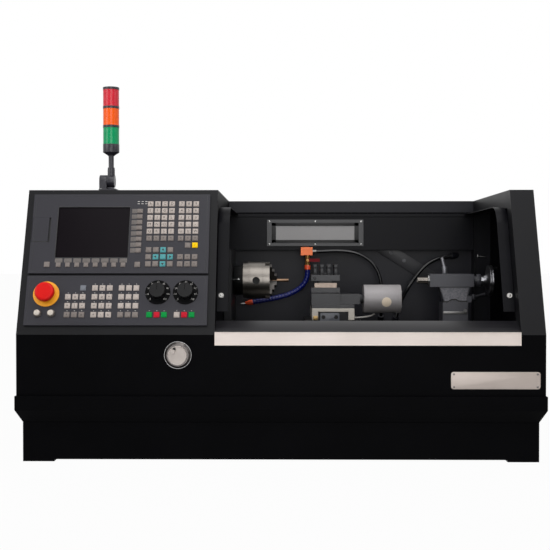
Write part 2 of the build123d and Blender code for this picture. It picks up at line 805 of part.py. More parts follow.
def bed_and_head():
    # Bed: a trough casting with two ways, legs to the tray, and bearing blocks for the carriage screw
    bed_front = axis_y - bed_half
    bed_rear = axis_y + bed_half
    bed = block(bed_left, bed_right, bed_front, bed_rear, bed_bottom, bed_top)
    trough = bed_half - way_width
    bed -= block(bed_left - overrun, bed_right + overrun, axis_y - trough, axis_y + trough,
                 bed_bottom + bed_floor, bed_top + overrun)
    tray_floor = plinth_top + sheet
    for x in (bed_left, bed_right - bed_leg_length):
        bed += block(x, x + bed_leg_length, bed_front, bed_rear, tray_floor, bed_bottom)
    half = screw_block / 2
    for x in (screw_left, screw_right):
        seat = block(x, x + screw_block_length, screw_y - half, bed_front, screw_z - half, screw_z + half)
        bed += seat
    journal = screw_radius + run_gap
    reach = screw_right - screw_left + screw_block_length
    bed -= rod((screw_left - overrun, screw_y, screw_z), (1, 0, 0), journal, reach + 2 * overrun)
    save(bed, "bed")
    screw_start = screw_left + fit_gap
    save(rod((screw_start, screw_y, screw_z), (1, 0, 0), screw_radius, reach - fit_gap), "z_screw")
    size = carriage_motor_size / 2
    motor_low = screw_left - carriage_motor_length
    save(block(motor_low, screw_left, screw_y - size, screw_y + size, screw_z - size, screw_z + size),
         "z_motor")

    # Headstock casting with its splash guard, bored for the spindle
    head = block(head_left, head_right, axis_y - head_half, axis_y + head_half, bed_top, head_top)
    head = fillet(head.edges().filter_by(Axis.X).group_by(Axis.Z)[-1], way_height)
    head += block(head_right, guard_right, axis_y - guard_front_reach, axis_y + guard_rear_reach,
                  bed_top + sheet, guard_top)
    centre = (head_left - overrun, axis_y, axis_z)
    head -= rod(centre, (1, 0, 0), spindle_radius + run_gap, guard_right - head_left + 2 * overrun)
    save(head, "headstock")

    # Spindle: through shaft with a nose flange, a drive pulley at the tail and a clear bore
    shaft = rod((spindle_tail, axis_y, axis_z), (1, 0, 0), spindle_radius, chuck_left - spindle_tail)
    flange_left = guard_right + sheet
    shaft += rod((flange_left, axis_y, axis_z), (1, 0, 0), spindle_nose, chuck_left - flange_left)
    shaft += rod((spindle_tail, axis_y, axis_z), (1, 0, 0), spindle_pulley_radius, pulley_width)
    shaft -= rod((spindle_tail - overrun, axis_y, axis_z), (1, 0, 0), spindle_bore,
                 chuck_left - spindle_tail + 2 * overrun)
    save(shaft, "spindle")

    # Spindle motor on a bracket to the headstock, its pulley and the belt
    motor_left = spindle_tail + pulley_width + motor_gap
    motor = rod((motor_left, motor_y, motor_z), (1, 0, 0), motor_radius, motor_length)
    bracket_low = motor_z - way_height
    motor += block(head_left, motor_left + motor_length, motor_y, axis_y - head_half, bracket_low,
                   motor_z + way_height)
    shaft_hole = motor_shaft_radius + run_gap
    motor -= rod((motor_left - overrun, motor_y, motor_z), (1, 0, 0), shaft_hole, motor_length / 2)
    save(motor, "spindle_motor")
    pulley = rod((spindle_tail, motor_y, motor_z), (1, 0, 0), motor_pulley_radius, pulley_width)
    pulley += rod((spindle_tail, motor_y, motor_z), (1, 0, 0), motor_shaft_radius, motor_length / 3)
    save(pulley, "motor_pulley")

    def loop(extra):
        big = Pos(axis_y, axis_z) * Circle(spindle_pulley_radius + extra)
        small = Pos(motor_y, motor_z) * Circle(motor_pulley_radius + extra)
        return make_hull(big.edges() + small.edges())
    band = Plane.YZ * (loop(fit_gap + belt_thick) - loop(fit_gap))
    belt_left = spindle_tail + (pulley_width - belt_width) / 2
    save(Pos(belt_left, 0, 0) * extrude(band, amount=belt_width, dir=(1, 0, 0)), "drive_belt")


def chuck():
    # Chuck body with three radial slots and a key hole, and stepped jaws that close on the bar
    body = rod((chuck_left, axis_y, axis_z), (1, 0, 0), chuck_radius, chuck_right - chuck_left)
    ring = rod((chuck_left, axis_y, axis_z), (1, 0, 0), chuck_radius, chuck_step_length)
    body -= ring - rod((chuck_left, axis_y, axis_z), (1, 0, 0), chuck_radius - chuck_step, chuck_step_length)
    body -= rod((chuck_left - overrun, axis_y, axis_z), (1, 0, 0), chuck_bore,
                chuck_right - chuck_left + 2 * overrun)
    mid_x = (chuck_left + chuck_right) / 2
    body -= rod((mid_x, axis_y - chuck_radius - overrun, axis_z), (0, 1, 0), key_hole_radius,
                key_hole_depth + overrun)
    slot_x = chuck_right - jaw_slot_depth
    centre = Pos(0, axis_y, axis_z)
    half = jaw_width / 2
    for k, angle in enumerate((240, 0, 120)):
        turn = centre * Rot(angle, 0, 0)
        body -= turn * block(slot_x, chuck_right + overrun, 0, chuck_radius + overrun, -half - run_gap,
                             half + run_gap)
        points = [(slot_x + run_gap, jaw_grip)]
        tread = (jaw_outer - jaw_grip) / jaw_steps
        lift = jaw_reach / jaw_steps
        points.append((chuck_right + jaw_reach, jaw_grip))
        for s in range(jaw_steps):
            top = chuck_right + jaw_reach - s * lift
            points.append((top, jaw_grip + (s + 1) * tread))
            points.append((top - lift, jaw_grip + (s + 1) * tread))
        points[-1] = (slot_x + run_gap, jaw_outer)
        face = make_face(Polyline(*points, close=True))
        jaw = Pos(0, 0, -half) * extrude(face, amount=jaw_width, dir=(0, 0, 1))
        save(turn * jaw, "chuck_jaw_" + str(k + 1))
    save(body, "chuck_body")
    bar_start = slot_x + run_gap
    save(rod((bar_start, axis_y, axis_z), (1, 0, 0), bar_radius, bar_end - bar_start), "bar_stock")


def carriage():
    # Saddle on the ways, with the cross rail on top and the nut apron hanging in front
    low = bed_top + fit_gap
    high = slide_bottom - fit_gap
    saddle = block(saddle_left, saddle_right, saddle_front, saddle_rear, low, high)
    middle = (slide_left + slide_right) / 2
    rail_top = slide_top - slide_plate - fit_gap
    saddle += block(middle - rail_half, middle + rail_half, saddle_front, saddle_rear, low, rail_top)
    half = apron_thick / 2
    saddle += block(middle - half, middle + half, screw_y - half, screw_y + half,
                    low - apron_height / 2 - half, low)
    saddle -= rod((saddle_left, screw_y, screw_z), (1, 0, 0), screw_radius + run_gap,
                  saddle_right - saddle_left)
    save(saddle, "saddle")

    # Cross-slide: an inverted channel astride the rail
    slide = block(slide_left, slide_right, slide_front, slide_rear, slide_bottom, slide_top)
    inner_left = slide_left + slide_leg
    inner_right = slide_right - slide_leg
    slide -= block(inner_left, inner_right, slide_front - overrun, slide_rear + overrun, 0,
                   slide_top - slide_plate)
    save(slide, "cross_slide")

    # Turret base: top plate, square base, neck to the motor and the centre pin
    size = turret_size / 2
    base = block(slide_left, slide_right, slide_front + sheet, slide_rear, slide_top, turret_base_low)
    base += block(turret_x - size, turret_x + size, turret_y - size, turret_y + size, turret_base_low,
                  turret_base_high)
    neck_top = turret_base_low + neck_height
    base += block(turret_x, neck_right, turret_y - neck_half, turret_y + neck_half, turret_base_low, neck_top)
    flange = turret_motor_left - neck_right
    base += rod((neck_right, turret_y, turret_motor_z), (1, 0, 0), turret_flange_radius, flange)
    base += rod((turret_x, turret_y, turret_base_high), (0, 0, 1), turret_hub_radius,
                turret_high - turret_base_high)
    save(base, "turret_base")

    # Turret head: a square block with a tool slot round all four sides and square-headed clamp bolts
    head = block(turret_x - size, turret_x + size, turret_y - size, turret_y + size, turret_low, turret_high)
    core = size - slot_depth
    slot = block(turret_x - size - overrun, turret_x + size + overrun, turret_y - size - overrun,
                 turret_y + size + overrun, slot_low, slot_high)
    slot -= block(turret_x - core, turret_x + core, turret_y - core, turret_y + core, slot_low, slot_high)
    head -= slot
    head -= rod((turret_x, turret_y, turret_low - overrun), (0, 0, 1), turret_hub_radius + run_gap,
                turret_high)
    bolt_row = size - slot_depth / 2
    bolt_step = 2 * bolt_row / turret_bolt_count
    half = turret_bolt_size / 2
    for side_turn in (0, 90, 180, 270):
        turn = Pos(turret_x, turret_y, 0) * Rot(0, 0, side_turn)
        for b in range(turret_bolt_count):
            x = b * bolt_step - bolt_row
            head += turn * block(x - half, x + half, -bolt_row - half, half - bolt_row, slot_high,
                                 turret_bolt_top)
    save(head, "turret_head")
    tool_left = turret_x - tool_length / 2
    tool_front = turret_y - size
    save(block(tool_left, tool_left + tool_length, tool_front, tool_front + tool_size, slot_low,
               slot_low + tool_size), "cutting_tool")
    save(rod((turret_motor_left, turret_y, turret_motor_z), (1, 0, 0), turret_motor_radius,
             turret_motor_length), "turret_motor")


def tailstock():
    # Tailstock: base on the ways, tapered neck, square barrel bored for the quill, and an end collar
    low = bed_top + fit_gap
    body = block(tail_base_left, tail_base_right, axis_y - tail_base_half, axis_y + tail_base_half, low,
                 tail_base_top)
    barrel_low = axis_z - tail_half_height
    neck = [(tail_neck_left, barrel_low), (tail_neck_right, barrel_low)]
    neck += [(tail_neck_right - tail_neck_taper / 2, tail_base_top),
             (tail_neck_left + tail_neck_taper, tail_base_top)]
    face = Plane.XZ * make_face(Polyline(*neck, close=True))
    body += Pos(0, axis_y + tail_neck_half, 0) * extrude(face, amount=2 * tail_neck_half, dir=(0, -1, 0))
    body += block(tail_left, tail_right, axis_y - tail_half_width, axis_y + tail_half_width, barrel_low,
                  axis_z + tail_half_height)
    shaft_radius = wheel_hub_radius
    body += rod((tail_right, axis_y, axis_z), (1, 0, 0), shaft_radius, collar_left - tail_right)
    body += rod((collar_left, axis_y, axis_z), (1, 0, 0), collar_radius, collar_length)
    bore_length = collar_left + collar_length - sheet - tail_left
    body -= rod((tail_left - overrun, axis_y, axis_z), (1, 0, 0), quill_radius + run_gap,
                bore_length + overrun)
    lever_seat = axis_z + tail_half_height
    body -= rod((lever_x, axis_y, lever_seat - lever_boss), (0, 0, 1), lever_radius + run_gap,
                lever_boss + overrun)
    body += block(tail_neck_right - tail_neck_taper, clamp_x, axis_y - tail_neck_half,
                  axis_y + tail_neck_half, tail_base_top, clamp_z + clamp_radius)
    save(body, "tailstock")

    # Quill with an empty socket, and the wheel that drives it
    quill = rod((quill_tip, axis_y, axis_z), (1, 0, 0), quill_radius, tail_right - quill_tip - sheet)
    quill -= rod((quill_tip - overrun, axis_y, axis_z), (1, 0, 0), quill_bore, quill_socket + overrun)
    save(quill, "quill")
    hub_left = collar_left + collar_length + fit_gap
    wheel = rod((hub_left, axis_y, axis_z), (1, 0, 0), wheel_hub_radius, wheel_left + wheel_rim - hub_left)
    disc = rod((wheel_left, axis_y, axis_z), (1, 0, 0), wheel_radius, wheel_rim)
    wheel += disc - rod((wheel_left + wheel_web, axis_y, axis_z), (1, 0, 0), wheel_radius - wheel_web,
                        wheel_rim)
    handle_z = axis_z + wheel_radius - 2 * wheel_handle_radius
    wheel += rod((wheel_left + wheel_web, axis_y, handle_z), (1, 0, 0), wheel_handle_radius,
                 wheel_handle_length + wheel_web)
    save(wheel, "tail_handwheel")

    # Quill clamp lever on top, bed clamp lever at the right
    stem = rod((lever_x, axis_y, lever_seat - lever_boss + fit_gap), (0, 0, 1), lever_radius, lever_boss)
    stem += rod((lever_x, axis_y, lever_seat + fit_gap), (0, 0, 1), lever_boss, lever_rise)
    tilt = math.radians(lever_tilt)
    elbow = (lever_x, axis_y, lever_seat + lever_rise - lever_radius)
    stem += rod(elbow, (-math.sin(tilt), 0, math.cos(tilt)), lever_radius, lever_length)
    save(stem, "quill_lever")
    boss_x = clamp_x + fit_gap + lever_boss
    arm = rod((boss_x, axis_y, clamp_z - lever_boss), (0, 0, 1), lever_boss, 2 * lever_boss)
    arm += rod((boss_x, axis_y, clamp_z), (math.cos(tilt), 0, math.sin(tilt)), clamp_radius, clamp_length)
    save(arm, "clamp_lever")


def coolant():
    # Valve block on the lamp panel with a brass tail, and its lever
    valve_y = rail_front - valve_depth / 2
    valve_high = lamp_panel_bottom + valve_lap
    valve_low = valve_high - valve_height
    tail_low = valve_low - tail_length
    valve_axis_z = valve_low - valve_axis_drop
    valve = block(valve_left, valve_right, rail_front - valve_depth, rail_front, valve_low, valve_high)
    valve += rod((tail_x, valve_y, tail_low), (0, 0, 1), tail_radius, valve_low - tail_low)
    valve += rod((tail_x, valve_y, tail_low), (0, 0, 1), tail_nut_radius, tail_nut_height)
    stem_y = valve_y - tail_radius - valve_stem_length
    valve += rod((tail_x, valve_y, valve_axis_z), (0, -1, 0), valve_stem_radius,
                 tail_radius + valve_stem_length)
    save(valve, "coolant_valve")
    lever_back = stem_y + valve_lever_thick
    half = valve_lever_width / 2
    lever = block(tail_x - half, tail_x + valve_lever_length, stem_y, lever_back, valve_axis_z - half,
                  valve_axis_z + half)
    bore = valve_stem_radius + run_gap
    lever -= rod((tail_x, stem_y - overrun, valve_axis_z), (0, 1, 0), bore, valve_lever_thick + 2 * overrun)
    save(lever, "valve_lever")


# Routes: the hoses from the valve and the conduit from the opening's left side, each from the lamp panel's
# lower front edge, and the lead from the slide's corner
hose_route = [
    (0, -15, -55), (0, -15, -73), (-7, -15, -93), (-24, -15, -111), (-49, -16, -125),
    (-80, -17, -134), (-112, -18, -140.5), (-142, -19, -145.5), (-164, -20, -149),
]
supply_route = [
    (0, -15, -4), (24, -15, -4), (60, -14, -1.5), (100, -14, -3), (134, -14, -11),
    (162, -14, -28), (182, -14, -51), (193, -14, -79), (197, -14, -111), (198, -12, -141),
    (198, -2, -167), (198, 18, -187),
]
conduit_route = [
    (480, 18, -191), (483, -1, -169), (492, -14, -139), (509, -20, -107), (530, -21, -75),
    (554, -20, -47), (582, -16, -29), (612, -6, -20), (636, 18, -17),
]
lead_route = [
    (0, 30, 5), (12, 30, 5), (26, 31, 6.4), (40, 35, 8.6), (49, 40, 11.2), (55, 44.2, 14.2),
]


def cords():
    cord(placed(valve_right, supply_route), supply_radius, "supply_hose")
    cord(placed(opening_left, conduit_route), conduit_radius, "wall_conduit")
    nozzle = (nozzle_radius, nozzle_tip_radius, nozzle_length)
    cord(placed(tail_x, hose_route), hose_radius, "coolant_hose", nozzle)
    corner = Vector(slide_right, slide_front, slide_bottom)
    cord([corner + Vector(*p) for p in lead_route], lead_radius, "motor_lead")


cabinet()
rear_and_lamp()
panels()
tower()
bed_and_head()
chuck()
carriage()
tailstock()
coolant()
cords()
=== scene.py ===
import math
import bmesh
import bpy
from mathutils import Matrix, Vector


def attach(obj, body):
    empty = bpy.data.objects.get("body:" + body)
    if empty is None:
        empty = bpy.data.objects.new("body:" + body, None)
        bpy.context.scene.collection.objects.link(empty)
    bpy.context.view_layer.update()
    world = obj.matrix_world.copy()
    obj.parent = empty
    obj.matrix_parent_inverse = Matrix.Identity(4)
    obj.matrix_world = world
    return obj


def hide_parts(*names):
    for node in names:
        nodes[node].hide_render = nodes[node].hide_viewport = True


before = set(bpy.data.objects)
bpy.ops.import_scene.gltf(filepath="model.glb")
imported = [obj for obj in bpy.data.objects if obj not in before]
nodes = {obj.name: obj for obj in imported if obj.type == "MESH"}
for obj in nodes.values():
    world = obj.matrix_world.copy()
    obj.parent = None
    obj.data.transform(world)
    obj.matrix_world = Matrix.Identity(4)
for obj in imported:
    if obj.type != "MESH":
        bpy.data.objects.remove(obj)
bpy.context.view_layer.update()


# Studio: a pale paper floor, a white surround and a darker side behind the camera.
# Four broad lamps stand over, left, right and in front of the machine.
def linear(code):
    # An sRGB hex colour as the linear colour that shaders take
    parts = [int(code[i:i + 2], 16) / 255 for i in (1, 3, 5)]
    return [p / 12.92 if p <= 0.04045 else ((p + 0.055) / 1.055) ** 2.4 for p in parts] + [1.0]


def add(tree, kind, settings=None, links=None):
    # One node, with its sockets and settings, and links from nodes made before it
    node = tree.nodes.new(kind)
    for key, value in (settings or {}).items():
        if isinstance(key, int) or key in node.inputs:
            node.inputs[key].default_value = value
        else:
            setattr(node, key, value)
    for key, source in (links or {}).items():
        tree.links.new(source, node.inputs[key])
    return node


scene = bpy.context.scene
scene.view_settings.view_transform = "Standard"

camera = bpy.data.objects.new("camera", bpy.data.cameras.new("camera"))
camera.data.sensor_width = 36.0
camera.data.lens = 65.61
camera.location = (0.01227, -2.5903, 0.46373)
down_tilt, left_turn = 0.88, 0.617
camera.rotation_euler = (math.radians(90 - down_tilt), 0, math.radians(left_turn))
scene.collection.objects.link(camera)
scene.camera = camera

world = bpy.data.worlds.new("studio")
scene.world = world
world.use_nodes = True
sky = world.node_tree
sky.nodes.clear()
way = add(sky, "ShaderNodeTexCoord")
tilt = add(sky, "ShaderNodeSeparateXYZ", {}, {"Vector": way.outputs["Generated"]})
side = add(sky, "ShaderNodeMapRange", {"From Min": -0.55, "From Max": 0.35, "To Min": 0.06, "To Max": 1.0},
           {"Value": tilt.outputs["Y"]})
high = add(sky, "ShaderNodeMapRange", {"From Min": 0.25, "From Max": 0.85, "To Min": 0.0, "To Max": 0.7},
           {"Value": tilt.outputs["Z"]})
level = add(sky, "ShaderNodeMath", {"operation": "MAXIMUM"}, {0: side.outputs[0], 1: high.outputs[0]})
rays = add(sky, "ShaderNodeLightPath")
seen = add(sky, "ShaderNodeMath", {"operation": "MAXIMUM"},
           {0: rays.outputs["Is Camera Ray"], 1: rays.outputs["Is Transmission Ray"]})
shown = add(sky, "ShaderNodeMath", {"operation": "MAXIMUM"}, {0: level.outputs[0], 1: seen.outputs[0]})
glossy = add(sky, "ShaderNodeMapRange", {"To Min": 0.55, "To Max": 1.0},
             {"Value": rays.outputs["Is Glossy Ray"]})
clear = add(sky, "ShaderNodeMath", {"operation": "MAXIMUM"}, {0: glossy.outputs[0], 1: seen.outputs[0]})
strength = add(sky, "ShaderNodeMath", {"operation": "MULTIPLY"}, {0: shown.outputs[0], 1: clear.outputs[0]})
white = add(sky, "ShaderNodeBackground", {"Color": (1, 1, 1, 1)}, {"Strength": strength.outputs[0]})
add(sky, "ShaderNodeOutputWorld", {}, {"Surface": white.outputs[0]})

for name, place, aim, size, power in (
    ("lamp_over", (0.1, -1.2, 2.5), (0, 0.0, 0.4), 2.2, 32),
    ("lamp_left", (-2.4, -1.6, 1.5), (-0.2, 0, 0.4), 1.6, 28),
    ("lamp_right", (2.4, -1.2, 1.9), (0.2, 0, 0.4), 1.4, 13),
    ("lamp_front", (0.2, -3.4, 1.05), (0.1, 0, 0.4), 1.8, 34),
):
    lamp = bpy.data.objects.new(name, bpy.data.lights.new(name, "AREA"))
    lamp.data.size = size
    lamp.data.energy = power
    lamp.location = place
    lamp.rotation_euler = (Vector(aim) - Vector(place)).to_track_quat("-Z", "Y").to_euler()
    scene.collection.objects.link(lamp)

floor_reach = 30.0
ground = bmesh.new()
bmesh.ops.create_grid(ground, x_segments=1, y_segments=1, size=floor_reach)
floor_mesh = bpy.data.meshes.new("floor")
ground.to_mesh(floor_mesh)
ground.free()
floor = bpy.data.objects.new("floor", floor_mesh)
scene.collection.objects.link(floor)
# White paper; the part of its look that is not glow keeps the shadow
glow_share = 0.97
paper = bpy.data.materials.new("white_backdrop_paper")
paper.use_nodes = True
tree = paper.node_tree
tree.nodes.clear()
matte = add(tree, "ShaderNodeBsdfDiffuse", {"Color": linear("#9a9a9c")})
glow = add(tree, "ShaderNodeEmission", {"Color": (1, 1, 1, 1), "Strength": 1.0})
rays = add(tree, "ShaderNodeLightPath")
seen = add(tree, "ShaderNodeMath", {"operation": "MAXIMUM"},
           {0: rays.outputs["Is Camera Ray"], 1: rays.outputs["Is Transmission Ray"]})
mirrored = add(tree, "ShaderNodeMath", {"operation": "MAXIMUM"},
               {0: seen.outputs[0], 1: rays.outputs["Is Glossy Ray"]})
share = add(tree, "ShaderNodeMath", {"operation": "MULTIPLY", 1: glow_share}, {0: mirrored.outputs[0]})
mix = add(tree, "ShaderNodeMixShader", {},
          {"Fac": share.outputs[0], 1: matte.outputs[0], 2: glow.outputs[0]})
add(tree, "ShaderNodeOutputMaterial", {}, {"Surface": mix.outputs[0]})
floor_mesh.materials.append(paper)


# Cabinet: folded steel sheet on a plinth and chip tray, welded, filled and powder coated near black.
# The coat has a fine orange peel and goes a little duller in broad patches.
def surface(name, pale, dark, rough, grain_mm, depth_mm, stretch=(1, 1, 1), patch_mm=90, **shader):
    # A finish whose colour drifts in broad patches and whose fine grain shows in gloss and relief;
    # brush and grit lines finer than half a millimetre are drawn that coarse, so that they show
    made = bpy.data.materials.new(name)
    made.use_nodes = True
    tree = made.node_tree
    coat = tree.nodes["Principled BSDF"]
    for key, value in shader.items():
        coat.inputs[key.replace("_", " ").title().replace("Ior", "IOR")].default_value = value
    place = add(tree, "ShaderNodeTexCoord")
    drawn = add(tree, "ShaderNodeMapping", {"Scale": stretch}, {"Vector": place.outputs["Object"]})
    fine = add(tree, "ShaderNodeTexNoise", {"Scale": 1000 / grain_mm, "Detail": 3.0},
               {"Vector": drawn.outputs[0]})
    broad = add(tree, "ShaderNodeTexNoise", {"Scale": 1000 / patch_mm, "Detail": 4.0},
                {"Vector": place.outputs["Object"]})
    speck = add(tree, "ShaderNodeMath", {"operation": "MULTIPLY", 1: 0.4}, {0: fine.outputs["Fac"]})
    blend = add(tree, "ShaderNodeMath", {"operation": "MULTIPLY_ADD", 1: 0.6},
                {0: broad.outputs["Fac"], 2: speck.outputs[0]})
    tint = add(tree, "ShaderNodeValToRGB", {}, {"Fac": blend.outputs[0]})
    for stop, (spot, code) in zip(tint.color_ramp.elements, ((0.3, dark), (0.7, pale))):
        stop.position = spot
        stop.color = linear(code)
    tree.links.new(tint.outputs["Color"], coat.inputs["Base Color"])
    gloss = add(tree, "ShaderNodeMapRange", {"To Min": rough * 0.85, "To Max": rough * 1.15},
                {"Value": blend.outputs[0]})
    tree.links.new(gloss.outputs[0], coat.inputs["Roughness"])
    relief = add(tree, "ShaderNodeBump", {"Strength": 0.5, "Distance": depth_mm / 1000},
                 {"Height": fine.outputs["Fac"]})
    tree.links.new(relief.outputs[0], coat.inputs["Normal"])
    return made


def coat_nodes(finish, names, edge_mm=0.0):
    # The finish on solids as they are, with folded or machined edges eased where a width is given
    for name in names.split():
        solid = nodes[name]
        solid.data.materials.clear()
        solid.data.materials.append(finish)
        if edge_mm:
            join = solid.modifiers.new("join", "WELD")
            join.merge_threshold = 1e-5
            flat = solid.modifiers.new("flat", "DECIMATE")
            flat.decimate_type = "DISSOLVE"
            flat.angle_limit = math.radians(0.5)
            ease = solid.modifiers.new("ease", "BEVEL")
            ease.width = edge_mm / 1000
            ease.segments = 2
            ease.limit_method = "ANGLE"
            ease.angle_limit = math.radians(35)


# Near black with a fine orange peel and hardly any shine
black_coat = surface("black_powder_coat_on_steel", "#070709", "#040405", rough=0.44, grain_mm=0.9,
                     depth_mm=0.05, specular_ior_level=0.025)
coat_nodes(black_coat, "base_plinth chip_tray front_skirt", 1.0)
coat_nodes(black_coat, "left_side right_side")
# Painted light: the black coat a shade paler, and shinier, so the slope and post read as lit more than the
# skirt
cover_lit_coat = surface("satin_black_coat_painted_lit_on_cover", "#0b0b0f", "#07070a", rough=0.42, grain_mm=0.9,
                     depth_mm=0.05, specular_ior_level=0.2)
coat_nodes(cover_lit_coat, "control_cover right_post")
# Satin black that takes a soft light along its folds
dark_coat = surface("satin_powder_coat_inside", "#0e0e13", "#07070a", rough=0.4, grain_mm=0.9,
                    depth_mm=0.05, specular_ior_level=0.11)
coat_nodes(dark_coat, "lid_jambs lamp_panel", 0.7)
# Flat black that stays in shadow behind the chuck
shade_coat = surface("flat_black_coat_inside", "#070709", "#040405", rough=0.5, grain_mm=0.9,
                     depth_mm=0.05, specular_ior_level=0.03)
coat_nodes(shade_coat, "inner_bulkhead", 0.7)
# Dark grey, so the rear wall stands apart from the black sheet
wall_coat = surface("grey_powder_coat_rear_wall", "#1f1f25", "#16161b", rough=0.42, grain_mm=0.9,
                    depth_mm=0.05, specular_ior_level=0.2)
coat_nodes(wall_coat, "rear_wall", 0.7)


# Sill strip: brushed stainless steel along the whole opening, its edges hemmed.
# The brush lines run along it, and the black sill above it is lightened to a dark grey, a painted sheen
# along its length.
def slab(mesh, low, high, edge=0.3, corner=0.0, finish=0, across=2):
    # A block between two corners in millimetres; corner rounds the edges that run along axis across
    size = Vector(high) - Vector(low)
    made = bmesh.ops.create_cube(mesh, size=1.0)["verts"]
    bmesh.ops.scale(mesh, vec=size, verts=made)
    bmesh.ops.translate(mesh, vec=(Vector(low) + Vector(high)) / 2, verts=made)
    faces = list({f for v in made for f in v.link_faces})
    for f in faces:
        f.material_index = finish
    if corner:
        posts = [e for e in {e for v in made for e in v.link_edges}
                 if abs((e.verts[0].co - e.verts[1].co)[across]) > 1e-6]
        cut = bmesh.ops.bevel(mesh, geom=posts, offset=corner, segments=4, profile=0.5, affect="EDGES",
                              material=-1)
        faces = list({f for v in cut["verts"] for f in v.link_faces})
    if edge:
        rim = [e for e in {e for f in faces for e in f.edges} if e.calc_face_angle(0) > 0.6]
        bmesh.ops.bevel(mesh, geom=rim, offset=edge, segments=2, profile=0.5, affect="EDGES", material=-1)


def turned(mesh, start, axis, profile, steps=32, finish=0):
    # A turned part: (radius, height) pairs from a start point along an axis, in millimetres
    before = set(mesh.faces)
    start, axis = Vector(start), Vector(axis).normalized()
    outward = axis.orthogonal().normalized()
    line = [mesh.verts.new(start + outward * r + axis * h) for r, h in profile]
    edges = [mesh.edges.new(pair) for pair in zip(line, line[1:])]
    bmesh.ops.spin(mesh, geom=line + edges, cent=start, axis=axis, angle=math.tau, steps=steps,
                   use_merge=True)
    made = [f for f in mesh.faces if f not in before]
    bmesh.ops.remove_doubles(mesh, verts=list({v for f in made for v in f.verts}), dist=1e-4)
    for f in mesh.faces:
        if f not in before:
            f.material_index = finish


def piece(name, mesh, body, finishes, place=None, replaces=None):
    # A finished mesh in millimetres as an object in metres that rides on a body
    if place:
        bmesh.ops.transform(mesh, matrix=place, verts=mesh.verts)
    bmesh.ops.scale(mesh, vec=(0.001, 0.001, 0.001), verts=mesh.verts)
    bmesh.ops.recalc_face_normals(mesh, faces=mesh.faces)
    data = bpy.data.meshes.new(name)
    mesh.to_mesh(data)
    mesh.free()
    data.shade_smooth()
    data.set_sharp_from_angle(angle=math.radians(35))
    made = bpy.data.objects.new(name, data)
    scene.collection.objects.link(made)
    for finish in finishes:
        data.materials.append(finish)
    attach(made, body)
    if replaces:
        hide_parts(replaces)
    return made


# Pale and warm, with fine lines drawn out along the strip
stainless = surface("brushed_stainless_steel", "#e8dcd5", "#d9cdc5", rough=0.36, grain_mm=0.7,
                    depth_mm=0.02, stretch=(0.02, 1, 1), metallic=0.1)
coat_nodes(stainless, "sill_trim")
front = -310.0
strip_left, strip_right, sill_edge = -150.0, 547.5, 298.6
mesh = bmesh.new()
for low, high in ((268.0, 270.2), (296.4, sill_edge)):
    slab(mesh, (strip_left, front - 1.8, low), (strip_right, front - 1.1, high), 0.25)
piece("sill_hems", mesh, "machine", [stainless])
# Painted sheen: black lightened to a dark grey along the sill's length, for the light its upward face takes
sill_sheen_coat = surface("painted_sheen_black_sill", "#1b1a1e", "#121114", rough=0.36, grain_mm=0.9,
                    depth_mm=0.03, stretch=(0.2, 1, 1), specular_ior_level=0.34)
sill_depth, sill_rise = 44.0, 23.4
mesh = bmesh.new()
slab(mesh, (strip_left + 0.2, 0.3, -0.3), (strip_right - 0.2, 49.4, 0.3), 0.1)
lean = (Matrix.Translation((0, front, sill_edge))
        @ Matrix.Rotation(math.atan2(sill_rise, sill_depth), 4, "X"))
piece("sill_face", mesh, "machine", [sill_sheen_coat], lean)

# Name plate: a plain brushed aluminium plate with round corners, riveted to the skirt.
# Rivets are dome headed, one in each corner.
# Pale metal with brush lines along the plate
plate_metal = surface("brushed_aluminium_plate", "#c3b7af", "#b1a59d", rough=0.38, grain_mm=0.5,
                      depth_mm=0.02, stretch=(0.02, 1, 1), metallic=0.15)
# Dull mid-grey steel
rivet_metal = surface("drawn_steel_rivet", "#8a8683", "#6c6966", rough=0.35, grain_mm=0.6, depth_mm=0.01,
                      metallic=1.0)
plate_thick = 1.4
mesh = bmesh.new()
slab(mesh, (388, front - plate_thick, 169), (591, front, 208.2), 0.4, 6.0, across=1)
for x in (394.5, 584.5):
    for z in (174.2, 203.2):
        turned(mesh, (x, front - plate_thick, z), (0, -1, 0),
               ((2.6, 0), (2.5, 0.5), (1.8, 1.1), (0.8, 1.4), (0, 1.5)), 16, 1)
piece("name_plate", mesh, "machine", [plate_metal, rivet_metal])

# Lid landing strips: each has a white rubber bumper screwed to its lower end.
# The screw is a bright cross-recessed pan head.
# Soft off-white
bumper_white = surface("white_rubber_bumper", "#d8d6d2", "#bdbab6", rough=0.5, grain_mm=0.8, depth_mm=0.05)
# Bright zinc that catches small highlights
screw_steel = surface("zinc_plated_screw", "#c6c6c4", "#a2a2a0", rough=0.25, grain_mm=0.6, depth_mm=0.01,
                      metallic=1.0)
# A dead black: painted shade in screw recesses, holes, slots and gaps, and the plain black of the lamp
# gasket and socket screws
black_and_painted_shade = surface("dead_black_and_painted_shade", "#0c0c0c", "#060606", rough=0.6, grain_mm=0.8,
                       depth_mm=0.02)
slope_angle = math.radians(20.14)
slope_foot = 292.3
outward = Vector((0, -math.cos(slope_angle), math.sin(slope_angle)))
rise = Vector((0, math.sin(slope_angle), math.cos(slope_angle)))


